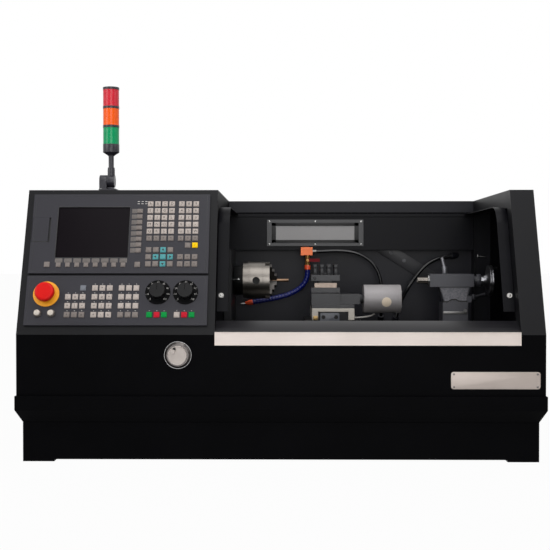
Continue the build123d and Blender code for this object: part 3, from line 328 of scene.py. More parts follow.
def cross_screw(mesh, start, axis, radius, height, finish, recess):
    # A pan-headed screw with a cross recess drawn as two bars of painted shade let into its crown
    dome = [(radius, 0), (radius, height * 0.45), (radius * 0.8, height * 0.85), (radius * 0.4, height),
            (0, height)]
    turned(mesh, start, axis, dome, 20, finish)
    axis = Vector(axis).normalized()
    first = axis.orthogonal().normalized()
    turn = Matrix((first, axis.cross(first), axis)).transposed().to_4x4()
    turn.translation = Vector(start) + axis * height
    bars = bmesh.new()
    for a, b in ((0.55, 0.13), (0.13, 0.55)):
        slab(bars, (-radius * a, -radius * b, -0.3), (radius * a, radius * b, 0.06), 0.0, finish=recess)
    bmesh.ops.transform(bars, matrix=turn, verts=bars.verts)
    joined = bpy.data.meshes.new("bars")
    bars.to_mesh(joined)
    bars.free()
    mesh.from_mesh(joined)
    bpy.data.meshes.remove(joined)


strip_foot, bumper_up = -266.0, 379.0
mesh = bmesh.new()
for x in (-139.5, 537.0):
    seat = Vector((x, strip_foot + (bumper_up - slope_foot) * math.tan(slope_angle), bumper_up))
    turned(mesh, seat, outward,
           ((6.2, -0.5), (6.2, 2.6), (5.4, 3.4), (3.4, 3.4), (3.2, 2.4), (0, 2.4)), 28, 0)
    cross_screw(mesh, seat + outward * 2.4, outward, 3.0, 1.6, 1, 2)
piece("lid_bumpers", mesh, "machine", [bumper_white, screw_steel, black_and_painted_shade])

# Piano hinge of the lid: rolled steel knuckles along the bottom of the rear rail, painted with it.
# The brace under it on the rear wall is worn grey and has two bolts.
pitch, knuckles = 23.25, 30
mesh = bmesh.new()
for k in range(knuckles):
    x = strip_left + k * pitch
    turned(mesh, (x + 0.5, 279, 598), (1, 0, 0), ((0, 0), (3.3, 0), (3.7, 0.4), (3.7, pitch - 1.4),
                                                  (3.3, pitch - 1), (0, pitch - 1)), 12)
piece("lid_hinge_knuckles", mesh, "machine", [dark_coat])
# Grey paint, worn unevenly
brace_coat = surface("worn_grey_brace_paint", "#343437", "#262629", rough=0.4, grain_mm=0.9, depth_mm=0.04)
mesh = bmesh.new()
slab(mesh, (-102.5, -18.3, -0.3), (102.5, 18.3, 0.4), 0.2)
brace_top = 490.4
along_brace = Vector((175, 0, -108)).normalized()
lie = Matrix((along_brace, Vector((0, -1, 0)).cross(along_brace), (0, -1, 0))).transposed().to_4x4()
lie.translation = (352.5, 303, 461)
bmesh.ops.transform(mesh, matrix=lie, verts=mesh.verts)
cut = bmesh.ops.bisect_plane(mesh, geom=mesh.verts[:] + mesh.edges[:] + mesh.faces[:],
                             plane_co=(0, 0, brace_top), plane_no=(0, 0, 1), clear_outer=True)["geom_cut"]
bmesh.ops.holes_fill(mesh, edges=[e for e in cut if isinstance(e, bmesh.types.BMEdge)])
for x, z in ((315.5, 483.6), (353.0, 460.6)):
    turned(mesh, (x, 302.6, z), (0, -1, 0), ((0, 0), (5.6, 0), (5.6, 0.8), (4.2, 0.9), (4.2, 3.2),
                                             (3.6, 3.8), (0, 3.8)), 12, 1)
# A lighter grey than the brace, so its bolts stand out
bolt_paint = surface("painted_bolt_head", "#58585c", "#434347", rough=0.45, grain_mm=0.9, depth_mm=0.03)
piece("brace_face", mesh, "machine", [brace_coat, bolt_paint])

# Work lamp: a flat steel frame screwed to the rear panel round an opal acrylic diffuser.
# Six zinc screws hold it, a dark gasket shows inside it and a fold runs along its lower edge.
# Dark grey satin
lamp_coat = surface("grey_painted_lamp_frame", "#1c1c20", "#151518", rough=0.36, grain_mm=0.9,
                    depth_mm=0.03)
coat_nodes(lamp_coat, "lamp_frame", 0.6)
# Milky grey with a faint glow from inside
opal = surface("opal_acrylic_diffuser", "#7a7878", "#706e6e", rough=0.35, grain_mm=2.0, depth_mm=0.01,
               emission_strength=0.03, emission_color=linear("#f2f4f2"))
coat_nodes(opal, "lamp_diffuser")
mesh = bmesh.new()
for x in (-35, 96, 227):
    for z in (507.5, 572.5):
        cross_screw(mesh, (x, 272, z), (0, -1, 0), 3.0, 1.8, 0, 1)
piece("lamp_frame_screws", mesh, "machine", [screw_steel, black_and_painted_shade])
mesh = bmesh.new()
for low, high in (((-28, 511), (-16, 569)), ((208, 511), (220, 569)),
                  ((-28, 511), (220, 520)), ((-28, 560), (220, 569))):
    slab(mesh, (low[0], 271.6, low[1]), (high[0], 272.2, high[1]), 0.1)
piece("lamp_gasket", mesh, "machine", [black_and_painted_shade])
mesh = bmesh.new()
slab(mesh, (-24, 270.6, 512.0), (216, 272, 513.6), 0.4)
piece("lamp_frame_fold", mesh, "machine", [lamp_coat])

# Operator panels: two moulded front plates with a film of anthracite, screwed to the slanted cover.
# A shallow groove runs inside each plate's edge, drawn as thin strips of painted shade; the card flap's
# finger recess and lower edge are lined with painted shade.
# A bluish dark grey with a soft sheen
panel_film = surface("anthracite_panel_film", "#24232b", "#1f1e25", rough=0.48, grain_mm=0.5,
                     depth_mm=0.03, specular_ior_level=0.35)
coat_nodes(panel_film, "display_panel machine_panel card_flap")
# Nearly black and smooth
glass = surface("dark_screen_glass", "#141014", "#100c10", rough=0.2, grain_mm=3.0, depth_mm=0.002,
                specular_ior_level=0.05)
coat_nodes(glass, "screen")
cover_left = -588.0
panel_frame = Matrix(((1, 0, 0, cover_left), (0, rise.y, outward.y, front),
                      (0, rise.z, outward.z, slope_foot), (0, 0, 0, 1)))
face, groove = 6.0, 0.7
# Painted shade: thin satin black strips that stand in for the shade in the grooves
groove_shade_black = surface("painted_groove_shade_black", "#1a1a1d", "#131315", rough=0.42, grain_mm=0.6, depth_mm=0.02)
mesh = bmesh.new()
for x0, x1, u0, u1 in ((6, 414, 150.6, 342.6), (6, 414, 24.8, 136.8)):
    for a, b in (((x0, u0), (x1, u0 + groove)), ((x0, u1 - groove), (x1, u1)),
                 ((x0, u0), (x0 + groove, u1)), ((x1 - groove, u0), (x1, u1))):
        slab(mesh, (*a, face - 0.2), (*b, face + 0.15), 0.05)
for a, b in (((59.2, 183.8), (232.1, 185.6)), ((59.2, 312.9), (232.1, 314.7)),
             ((59.2, 183.8), (60.9, 314.7)), ((230.4, 183.8), (232.1, 314.7))):
    slab(mesh, (*a, face - 2.4), (*b, face + 0.35), 0.25)
piece("panel_groove_lines", mesh, "machine", [groove_shade_black], panel_frame)
# Painted shade: dead black strips lining the card flap's finger recess
mesh = bmesh.new()
slab(mesh, (40.3, 225.0, 2.2), (44.2, 286.0, 2.7), 0.0)
slab(mesh, (44.1, 225.0, 2.2), (44.6, 286.0, face - 0.1), 0.0)
piece("flap_grip_shade", mesh, "machine", [black_and_painted_shade], panel_frame)
# Painted shade: a thin dead black strip for the shadow gap along the card flap's lower edge
mesh = bmesh.new()
slab(mesh, (3.0, 225.1, face - 0.3), (39.8, 226.6, face + 0.1), 0.05)
piece("flap_lower_edge", mesh, "card_flap", [black_and_painted_shade], panel_frame)

# Key caps: moulded caps under the film, each with a soft edge and a slightly raised crown.
# Most are beige; the lower rows are grey-brown, the cursor keys teal, one key yellow.
# Matt caps in plain colours, each a little uneven
beige = surface("beige_key_caps", "#b3a8a1", "#a39891", rough=0.5, grain_mm=0.6, depth_mm=0.02)
brown_grey = surface("grey_brown_key_caps", "#766d68", "#69605b", rough=0.5, grain_mm=0.6, depth_mm=0.02)
teal = surface("teal_key_caps", "#529a9e", "#468b8f", rough=0.5, grain_mm=0.6, depth_mm=0.02,
               specular_ior_level=0.2)
yellow = surface("yellow_key_cap", "#f8c800", "#eaba00", rough=0.45, grain_mm=0.6, depth_mm=0.02,
                 specular_ior_level=0.1)
key_red = surface("red_key_caps", "#c21c30", "#b01628", rough=0.45, grain_mm=0.6, depth_mm=0.02,
                  specular_ior_level=0.1)
key_green = surface("green_key_caps", "#008e40", "#007e36", rough=0.45, grain_mm=0.6, depth_mm=0.02,
                    specular_ior_level=0.1)
blue_grey = surface("blue_grey_key_caps", "#6c7078", "#5e626a", rough=0.5, grain_mm=0.6, depth_mm=0.02)
# Print a little lighter than the film
field_grey = surface("printed_label_field", "#625c58", "#56504d", rough=0.5, grain_mm=0.6, depth_mm=0.01)
cap_finishes = [beige, brown_grey, teal, yellow, key_red, key_green, blue_grey]
rows_of_text = []


def cap(mesh, x, up, finish, wide=13.2, tall=13.2):
    # One key cap: a skirt and a crown a little smaller
    for inset, low, high, edge, corner in ((0.0, -0.2, 1.6, 0.4, 1.0), (1.0, 1.2, 2.4, 0.5, 1.2)):
        half_x, half_up = wide / 2 - inset, tall / 2 - inset
        slab(mesh, (x - half_x, up - half_up, face + low), (x + half_x, up + half_up, face + high),
             edge, corner, finish)


step, lift = 17.0, 17.5
soft_x, soft_low, soft_pitch = 69.7, 161.8, 21.6
side_x, side_low, side_pitch = 254.3, 203.2, 14.25
left_block, right_block, low_row, edit_row = 279.0, 353.3, 169.4, 233.6
mesh = bmesh.new()
signs = iter("ABCDEFGHIJKLMNOPQRSTUVWXYZ+-*/=()[]<>#%&")
digits = iter("7894561230.-")
for x0, columns in ((left_block, 4), (right_block, 3)):
    for r in range(6):
        for c in range(columns):
            x, up = x0 + c * step, edit_row + (5 - r) * lift
            cap(mesh, x, up, 1 if r == 5 else 0)
            sign = "="
            if r < 5:
                sign = next(signs) if columns == 4 else next(digits, None) or next(signs)
            rows_of_text.append((sign, x, up))
cap(mesh, 370.3, 216.0, 1)
cap(mesh, 387.3, 216.0, 3)
rows_of_text.append(("/", 387.3, 216.0))
for r in range(3):
    for c in range(4):
        cap(mesh, left_block + c * step, low_row + r * lift, 2 if c == 2 or (r == 1 and c > 0) else 1)
for r in range(2):
    for c in range(3):
        x, up = right_block + c * step, low_row + r * lift
        cap(mesh, x, up, 1)
        rows_of_text.append(("=", x, up))
for x in (42.9, side_x):
    cap(mesh, x, 168.0, 1)
for k in range(8):
    cap(mesh, soft_x + k * soft_pitch, soft_low + 5.4, 1, 11.0, 10.8)
    cap(mesh, side_x, side_low + k * side_pitch, 1, 13.5, 11.0)
piece("display_key_caps", mesh, "machine", cap_finishes, panel_frame, "display_keys")

# Soft key fields: pale printed fields on the film above and beside the soft keys.
# They lie flush under the film, so they are only a hair proud.
mesh = bmesh.new()
for k in range(8):
    x, up = soft_x + k * soft_pitch, side_low + k * side_pitch
    slab(mesh, (x - 8.8, soft_low + 11.2, face - 0.2), (x + 8.8, soft_low + 21.6, face + 0.3), 0.1, 0.8)
    slab(mesh, (235.4, up - 5.5, face - 0.2), (247.2, up + 5.5, face + 0.3), 0.1, 0.8)
piece("soft_key_fields", mesh, "machine", [field_grey], panel_frame)

# Machine panel's key caps: three blocks of mode, axis and jog keys, and two rows of start keys.
# A small lamp window sits above each key.
mesh = bmesh.new()
windows = bmesh.new()
start_row, step_up = 45.7, 21.5


def lamp_window(x, up):
    # A small raised window above a key
    slab(windows, (x - 0.9, up + 9.2, face - 0.2), (x + 0.9, up + 10.4, face + 0.25), 0.1)


for x0, rows, bottom in ((98.0, 3, 1), (159.4, 4, 0), (221.0, 4, 1)):
    for r in range(rows):
        for c in range(3):
            x, up = x0 + c * step, start_row + r * step_up
            cap(mesh, x, up, bottom if r == 0 else 0)
            lamp_window(x, up)
            if x0 < 200:
                rows_of_text.append(("+-o=|"[(r * 3 + c) % 5], x, up))
cap(mesh, 132.0, 110.2, 6)
for x0, colours in ((287.3, (5, 4, 5)), (350.5, (0, 4, 5))):
    for c, colour in enumerate(colours):
        cap(mesh, x0 + c * step, start_row, colour)
        lamp_window(x0 + c * step, start_row)
piece("machine_key_caps", mesh, "machine", cap_finishes, panel_frame, "machine_keys")
# Small pale windows, unlit
lamp_white = surface("pale_lamp_window", "#d8d4d0", "#c6c2be", rough=0.4, grain_mm=0.8, depth_mm=0.01)
for c in range(3):
    for r in range(2):
        x, up = 247.6 + c * 9.0, 321.4 + r * 5.6
        slab(windows, (x, up, face - 0.2), (x + 5.0, up + 1.3, face + 0.25), 0.1)
piece("lamp_windows", windows, "machine", [lamp_white], panel_frame)


# Legends: plain letters, figures and signs printed in dark ink on the key caps.
# The cursor keys have printed triangles.
def print_text(mesh, text, x, up, height, out):
    # One sign as flat ink, centred on a point of the panel
    letter = bpy.data.curves.new("sign", "FONT")
    letter.body = text
    letter.size = height
    letter.align_x = "CENTER"
    letter.align_y = "CENTER"
    holder = bpy.data.objects.new("sign", letter)
    flat = bpy.data.meshes.new_from_object(holder)
    flat.transform(Matrix.Translation((x, up, out)))
    mesh.from_mesh(flat)
    bpy.data.meshes.remove(flat)
    bpy.data.objects.remove(holder)
    bpy.data.curves.remove(letter)


legend_out = face + 2.44
# Dark brown-black print
ink = surface("dark_printed_ink", "#201c1a", "#161312", rough=0.55, grain_mm=0.6, depth_mm=0.01)
mesh = bmesh.new()
for text, x, up in rows_of_text:
    print_text(mesh, text, x, up, 9.0, legend_out)
for x, up, turn in ((313.0, 204.4, 0), (296.0, 186.9, 90), (330.0, 186.9, 270), (313.0, 169.4, 180)):
    made = bmesh.ops.create_circle(mesh, cap_ends=True, radius=3.9, segments=3)["verts"]
    bmesh.ops.rotate(mesh, verts=made, cent=(0, 0, 0), matrix=Matrix.Rotation(math.radians(turn), 3, "Z"))
    bmesh.ops.translate(mesh, verts=made, vec=(x, up, legend_out))
piece("key_legends", mesh, "machine", [ink], panel_frame)

# Emergency stop: a moulded red mushroom over a plain yellow disc on the machine panel.
# The disc is turned with a low step in the middle, where the stop's neck goes through.
# A strong glossy red
stop_red = surface("red_gloss_moulding", "#dc0c06", "#c80804", rough=0.36, grain_mm=2.0, depth_mm=0.01,
                   specular_ior_level=0.2)
coat_nodes(stop_red, "stop_button")
# Warm yellow, smooth
stop_yellow = surface("yellow_stop_disc", "#f7ab22", "#ee9e18", rough=0.4, grain_mm=1.0, depth_mm=0.01)
stop_x, stop_up = 47.4, 95.4
mesh = bmesh.new()
turned(mesh, (stop_x, stop_up, face), (0, 0, 1), ((0, 0.1), (30.4, 0.1), (30.4, 2.0), (29.8, 2.5),
                                                  (15.4, 2.5), (15.4, 1.0), (0, 1.0)), 64)
piece("stop_disc", mesh, "machine", [stop_yellow], panel_frame)

# Push buttons: pale domed caps on nickel skirts, in dark nickel bezels fixed to the panel.
# The caps ride on the buttons, which are pressed against a spring.
# Warm dull nickel
button_skirt = surface("warm_nickel_skirt", "#a39a92", "#8d847c", rough=0.32, grain_mm=1.0, depth_mm=0.01,
                       metallic=0.9)
coat_nodes(button_skirt, "push_button_left push_button_right")
# Pale cream, lightly glossy
cap_white = surface("white_button_lens", "#cfc6bb", "#bdb4a9", rough=0.3, grain_mm=1.0, depth_mm=0.01)
button_up, cap_seat = 49.0, 12.9
buttons = ((30.5, "push_left"), (61.9, "push_right"))
for x, body in buttons:
    mesh = bmesh.new()
    turned(mesh, (x, button_up, cap_seat), (0, 0, 1),
           ((0, 0), (6.9, 0), (6.9, 0.6), (6.0, 1.3), (3.0, 2.0), (0, 2.2)), 32)
    piece(body + "_lens", mesh, body, [cap_white], panel_frame)
mesh = bmesh.new()
for x, body in buttons:
    turned(mesh, (x, button_up, face), (0, 0, 1), ((8.6, 0), (9.3, 0), (9.3, 1.6), (8.8, 3.0), (7.6, 3.4),
                                                   (7.3, 3.2), (7.3, 2.8), (8.6, 2.8), (8.6, 0)), 32)
# Dark brownish metal
button_bezel = surface("dark_nickel_bezel", "#5f5852", "#4a4440", rough=0.35, grain_mm=1.0, depth_mm=0.01,
                       metallic=0.8)
piece("button_rings", mesh, "machine", [button_bezel], panel_frame)

# Override dials: black fluted knobs over black scale discs.
# Plain numbers and ticks run round each scale.
# Satin black with soft highlights on its flutes
knob_black = surface("black_satin_moulding", "#0c0c0e", "#080809", rough=0.38, grain_mm=0.8, depth_mm=0.03,
                     specular_ior_level=0.22)
coat_nodes(knob_black, "feed_dial spindle_dial", 0.8)
# Flat black, so that the numbers stand out
scale_black = surface("black_scale_disc", "#060607", "#040405", rough=0.45, grain_mm=0.8, depth_mm=0.02,
                      specular_ior_level=0.06)
# Off-white print
scale_ink = surface("white_scale_ink", "#b4b1ae", "#a4a19e", rough=0.5, grain_mm=0.8, depth_mm=0.01)
dial_up, number_ring, grip_ring = 100.0, 23.6, 17.3
numbers, flute_count = 9, 24
discs = bmesh.new()
marks = bmesh.new()
for x, body, top in ((305.1, "feed_dial", 120), (369.0, "spindle_dial", 100)):
    turned(discs, (x, dial_up, face), (0, 0, 1), ((17.9, 0), (29.2, 0), (29.2, 1.2), (28.8, 1.5),
                                                  (17.9, 1.5), (17.9, 0)), 64)
    for k in range(numbers):
        angle = math.radians(225 - k * 270 / (numbers - 1))
        way = (math.cos(angle), math.sin(angle))
        print_text(marks, str(k * top // (numbers - 1)), x + way[0] * number_ring,
                   dial_up + way[1] * number_ring, 5.4, face + 1.55)
        turn = Matrix.Translation((x, dial_up, 0)) @ Matrix.Rotation(angle, 4, "Z")
        tick = bmesh.ops.create_cube(marks, size=1.0)["verts"]
        bmesh.ops.scale(marks, vec=(1.8, 0.4, 0.1), verts=tick)
        bmesh.ops.translate(marks, vec=(27.6, 0, face + 1.52), verts=tick)
        bmesh.ops.transform(marks, matrix=turn, verts=tick)
    flutes = bmesh.new()
    for k in range(flute_count):
        angle = k * math.tau / flute_count
        at = (x + grip_ring * math.cos(angle), dial_up + grip_ring * math.sin(angle), 9.0)
        turned(flutes, at, (0, 0, 1), ((0, 0), (1.0, 0), (1.0, 14.5), (0, 15.0)), 8)
    piece(body + "_grip", flutes, body, [knob_black], panel_frame)
piece("dial_scales", discs, "machine", [scale_black], panel_frame)
piece("dial_scale_marks", marks, "machine", [scale_ink], panel_frame)

# Electronic handwheel: a dark chromed cone bezel on the skirt and a spun aluminium disc that turns in it.
# The disc has a fine rim line and a small finger cup lined with painted shade, and the bezel a bright outer
# rim.
# Dark metal that mirrors the room softly
bezel_chrome = surface("dark_chrome_bezel", "#7c7775", "#615d5b", rough=0.24, grain_mm=1.0, depth_mm=0.005,
                       metallic=1.0)
coat_nodes(bezel_chrome, "handwheel_bezel")
# Pale spun metal, evenly lit
satin_disc = surface("spun_satin_aluminium", "#c0b7b1", "#ada49e", rough=0.42, grain_mm=0.5, depth_mm=0.02,
                     metallic=0.25)
coat_nodes(satin_disc, "pulse_handwheel", 0.6)
wheel_x, wheel_z = -234, 246
mesh = bmesh.new()
turned(mesh, (wheel_x, front - 13.3, wheel_z), (0, -1, 0),
       ((19.4, 0), (21.3, 0), (21.3, 0.7), (20.6, 1.0), (19.4, 0.6), (19.4, 0)), 64)
# The finger cup is dead black, painted shade in its hollow
turned(mesh, (-240.7, front - 13.6, 260.8), (0, -1, 0),
       ((0, 0), (3.6, 0), (3.6, 0.9), (2.9, 1.2), (2.4, 0.5), (0, 0.5)), 24, 1)
piece("handwheel_rim", mesh, "handwheel", [satin_disc, black_and_painted_shade])
# A thin bright mirror line
rim_chrome = surface("polished_chrome_plate", "#dcdcdc", "#c8c8c8", rough=0.1, grain_mm=2.0,
                     depth_mm=0.005, metallic=1.0)
mesh = bmesh.new()
turned(mesh, (wheel_x, front, wheel_z), (0, -1, 0), ((30.2, 0), (31.2, 0), (31.4, 0.5), (31.1, 1.0),
                                                     (30.5, 1.0), (30.2, 0.6), (30.2, 0)), 96)
piece("handwheel_bezel_rim", mesh, "machine", [rim_chrome])

# Signal tower: three moulded polycarbonate lenses in black rings on a tube that folds at a knuckle.
# Each lens has fine lips at its rings; four screws hold the foot to the roof, with a pad between them.
# Satin black with a blue cast
mast_black = surface("black_tower_moulding", "#28272f", "#201f26", rough=0.36, grain_mm=0.8, depth_mm=0.02)
coat_nodes(mast_black, "tower_mast tower_foot", 0.7)
# Strong clear colours with a narrow highlight down each lens
lens_finishes = [
    surface("green_polycarbonate_lens", "#0fa468", "#0b9159", rough=0.24, grain_mm=2.0, depth_mm=0.0,
            specular_ior_level=0.3),
    surface("orange_polycarbonate_lens", "#ff6a1e", "#f85c12", rough=0.24, grain_mm=2.0, depth_mm=0.0,
            specular_ior_level=0.3),
    surface("red_polycarbonate_lens", "#d93040", "#cb2434", rough=0.24, grain_mm=2.0, depth_mm=0.0,
            specular_ior_level=0.3),
]
tower_x, tower_y, tower_top, lens_pitch = -418, -120, 887.0, 46.5
tower_low = tower_top - 3 * lens_pitch
mesh = bmesh.new()
for k in range(3):
    base = tower_low + k * lens_pitch
    turned(mesh, (tower_x, tower_y, base), (0, 0, 1), ((6.7, 0.02), (19.8, 0.02), (19.8, 1.0), (19.5, 1.4),
                                                       (19.5, 39.1), (19.8, 39.5), (19.8, 40.48),
                                                       (6.7, 40.48), (6.7, 0.02)), 64, k)
piece("tower_lens_stack", mesh, "tower", lens_finishes, None, "tower_lenses")
mesh = bmesh.new()
turned(mesh, (tower_x, tower_y, 670), (0, 0, 1), ((8.1, 0), (8.9, 0), (8.9, 14), (8.4, 20.2), (6.7, 20.4),
                                                  (6.7, 0)), 32)
turned(mesh, (tower_x, tower_y, 719), (0, 0, 1), ((6.6, 0), (8.2, 0), (9.4, 2.6), (7.0, 2.6)), 32)
piece("tower_pole_sleeves", mesh, "tower", [mast_black])
mesh = bmesh.new()
for x in (-441.0, -407.0):
    for y in (-137.0, -103.0):
        cross_screw(mesh, (x, y, 636.6), (0, 0, 1), 2.6, 1.6, 0, 1)
slab(mesh, (-426.6, -132, 636.4), (-409.4, -108, 641.4), 0.6, 2.0, 2)
piece("tower_foot_screws", mesh, "machine", [screw_steel, black_and_painted_shade, mast_black])

# Bed, headstock, saddle and spindle drive: painted cast iron, with the ways ground bright; headstock and
# saddle are darkened as painted shade.
# The drive behind the control panels is plain black and rubber, and the spindle's nose is darkened as
# painted shade.
# Grey paint over a casting's uneven skin
iron = surface("grey_painted_cast_iron", "#39393c", "#2b2b2e", rough=0.45, grain_mm=1.5, depth_mm=0.15)
coat_nodes(iron, "bed", 0.8)
# Painted shade: cast iron darkened near black, with a little gloss, where it lies in shade under the
# cross-slide
saddle_shade_iron = surface("shade_darkened_cast_iron", "#19191b", "#101012", rough=0.4, grain_mm=1.5, depth_mm=0.15,
                      specular_ior_level=0.25)
coat_nodes(saddle_shade_iron, "headstock saddle", 0.8)
# Plain black
drive_black = surface("black_motor_casing", "#161618", "#0f0f10", rough=0.45, grain_mm=1.0, depth_mm=0.05)
coat_nodes(drive_black, "z_motor spindle_motor motor_pulley", 0.6)
# Dull black
rubber = surface("black_rubber", "#18181a", "#0e0e0f", rough=0.55, grain_mm=0.6, depth_mm=0.05)
coat_nodes(rubber, "drive_belt")
# Bright, with turning lines round it
steel = surface("turned_bright_steel", "#a8a29b", "#8a847d", rough=0.38, grain_mm=0.5, depth_mm=0.03,
                stretch=(1, 0.05, 0.05), metallic=1.0)
coat_nodes(steel, "z_screw", 0.4)
# Painted shade: near black, so that the nose stays in shade behind the chuck
spindle_shade_black = surface("shade_darkened_spindle_nose", "#0b0b0c", "#070708", rough=0.45, grain_mm=1.0,
                        depth_mm=0.03, specular_ior_level=0.1)
coat_nodes(spindle_shade_black, "spindle", 0.4)
# Grey metal with grinding lines along the bed
way_steel = surface("ground_way_steel", "#8c8b88", "#6e6d6a", rough=0.3, grain_mm=0.6, depth_mm=0.02,
                    stretch=(0.03, 1, 1), metallic=1.0)
mesh = bmesh.new()
for y0, y1 in ((75.4, 110.6), (169.4, 204.6)):
    slab(mesh, (-128, y0, 289.9), (573, y1, 290.15), 0.05)
piece("bed_ways", mesh, "machine", [way_steel])

# Chuck: a ground steel body with three stepped jaws in slots, holding a short brass bar.
# Fine turning rings run round it; a small bright stop pin stands on the guard behind it.
# Mid-grey metal with fine lines turned round it
chuck_steel = surface("ground_chuck_steel", "#8c8781", "#6f6a65", rough=0.34, grain_mm=0.5, depth_mm=0.03,
                      stretch=(1, 0.05, 0.05), metallic=1.0)
coat_nodes(chuck_steel, "chuck_body")
# Darker than the body
jaw_steel = surface("hardened_jaw_steel", "#54514f", "#403e3c", rough=0.42, grain_mm=0.5, depth_mm=0.02,
                    metallic=1.0)
coat_nodes(jaw_steel, "chuck_jaw_1 chuck_jaw_2 chuck_jaw_3", 0.5)
# Brown drawn brass with lines along it
bar_brass = surface("drawn_brass_bar", "#826a57", "#675343", rough=0.3, grain_mm=0.5, depth_mm=0.02,
                    stretch=(0.05, 1, 1), metallic=1.0)
coat_nodes(bar_brass, "bar_stock", 0.5)
axis_y, axis_z, screw_ring = 140, 407.5, 33
mesh = bmesh.new()
for x in (-89.0, -85.5, -50.0):
    turned(mesh, (x, axis_y, axis_z), (1, 0, 0), ((49.2, 0), (50.15, 0), (50.3, 0.3), (50.3, 0.9),
                                                  (50.15, 1.2), (49.2, 1.2), (49.2, 0)), 96)
# A dead black liner in the chuck key socket, painted shade in the hole
turned(mesh, (-67.15, 103.6, axis_z), (0, -1, 0), ((0, 0), (9.95, 0), (9.95, 11.0), (9.5, 11.0), (9.5, 0.4),
                                                   (0, 0.4)), 32, 1)
piece("chuck_rings", mesh, "spindle", [chuck_steel, black_and_painted_shade])
mesh = bmesh.new()
for turn in (60, 180, 300):
    angle = math.radians(turn)
    at = (-31.3, axis_y + screw_ring * math.cos(angle), axis_z + screw_ring * math.sin(angle))
    turned(mesh, at, (1, 0, 0), ((0, 0), (4.6, 0), (4.6, 1.6), (4.2, 2.0), (2.4, 2.0), (2.4, 0.8),
                                 (0, 0.8)), 20)
piece("chuck_face_screws", mesh, "spindle", [jaw_steel])
pin_y, pin_z = 92, 410.5
mesh = bmesh.new()
turned(mesh, (-130.2, pin_y, pin_z), (1, 0, 0), ((0, 0), (2.0, 0), (2.0, 13.2), (0, 13.2)), 20, 1)
turned(mesh, (-117.2, pin_y, pin_z), (1, 0, 0), ((0, 0), (2.6, 0.4), (3.2, 2.6), (2.4, 5.2), (0, 6.0)), 20)
piece("guard_stop_pin", mesh, "machine", [screw_steel, drive_black])

# Cross-slide: a cream enamelled channel over the saddle's rail.
# A grey end plate with two socket screws closes the rail, and a brass gib sits on the left leg.
# Warm cream with a casting's soft relief
cream = surface("cream_enamelled_casting", "#c4bdb4", "#b2aba1", rough=0.42, grain_mm=1.5, depth_mm=0.1)
coat_nodes(cream, "cross_slide", 1.2)
# Mid-grey paint
rail_grey = surface("grey_rail_end_plate", "#55575e", "#484a50", rough=0.4, grain_mm=0.8, depth_mm=0.03)
# Dull yellow metal
wiper_brass = surface("cast_brass_gib", "#b99b6a", "#9a7f52", rough=0.4, grain_mm=1.0, depth_mm=0.05,
                      metallic=0.8)
mesh = bmesh.new()
slab(mesh, (101, 1.4, 296), (151, 4.2, 326), 0.5, 4.0, 0, across=1)
for x in (109.5, 142.5):
    turned(mesh, (x, 1.4, 315), (0, -1, 0), ((0, -0.2), (5.0, -0.2), (5.0, 0.5), (4.6, 0.9), (2.8, 0.9),
                                             (2.8, 0.1), (0, 0.1)), 24, 1)
piece("rail_end_plate", mesh, "carriage", [rail_grey, black_and_painted_shade])
mesh = bmesh.new()
slab(mesh, (83.0, -2.4, 307.3), (95.6, 0.2, 318.4), 0.6, 3.0, 0, across=1)
turned(mesh, (89.3, -2.4, 312.6), (0, -1, 0), ((0, 0), (3.6, 0), (3.4, 1.0), (0, 1.4)), 20)
piece("slide_gib", mesh, "cross_slide", [wiper_brass])

# Turret: black-oxide steel base and head with a bright tool bar clamped under square-headed bolts.
# Each bolt's square head and shank stand on a turned washer.
# Dark grey with a dull metal sheen
oxide = surface("black_oxide_steel", "#404042", "#323234", rough=0.42, grain_mm=0.9, depth_mm=0.06,
                metallic=0.35)
coat_nodes(oxide, "turret_base turret_head", 0.9)
# Uneven grey-brown metal, dark in patches
tool_steel = surface("ground_tool_steel", "#a8988c", "#7e7168", rough=0.4, grain_mm=2.0, depth_mm=0.1,
                     stretch=(0.3, 1, 1), patch_mm=12, metallic=0.7)
coat_nodes(tool_steel, "cutting_tool", 0.4)
# Black worn to a low shine
worn = surface("worn_bolt_head_steel", "#242427", "#161618", rough=0.3, grain_mm=0.8, depth_mm=0.03,
               metallic=0.5)
turret_x, turret_y, head_top, bolt_line, bolt_pitch = 115.5, 45.0, 424.0, -27.0, 18.0
mesh = bmesh.new()
for turn in (0, 90, 180, 270):
    spin = Matrix.Translation((turret_x, turret_y, 0)) @ Matrix.Rotation(math.radians(turn), 4, "Z")
    for b in range(3):
        at = spin @ Vector((b * bolt_pitch + bolt_line, bolt_line, 0))
        slab(mesh, (at.x - 5.0, at.y - 5.0, 440.5), (at.x + 5.0, at.y + 5.0, 451.4), 0.9, 0.8)
        slab(mesh, (at.x - 4.7, at.y - 4.7, 423.8), (at.x + 4.7, at.y + 4.7, 441.0), 0.3)
        turned(mesh, (at.x, at.y, head_top), (0, 0, 1),
               ((0, 0), (7.2, 0), (7.2, 1.2), (6.4, 1.8), (0, 1.8)), 20)
turned(mesh, (turret_x, turret_y, head_top), (0, 0, 1),
       ((0, 0), (14.5, 0), (14.5, 3.2), (12.8, 5.0), (6.0, 5.0), (0, 5.0)), 32)
piece("turret_bolt_heads", mesh, "turret", [worn])
mesh = bmesh.new()
turned(mesh, (87.0, 8.05, 416.0), (0, -1, 0), ((0, -0.1), (4.4, -0.1), (4.4, 0.35), (4.0, 0.5), (1.8, 0.5),
                                               (1.6, 0.1), (0, 0.1)), 20)
piece("turret_index_mark", mesh, "turret", [worn])

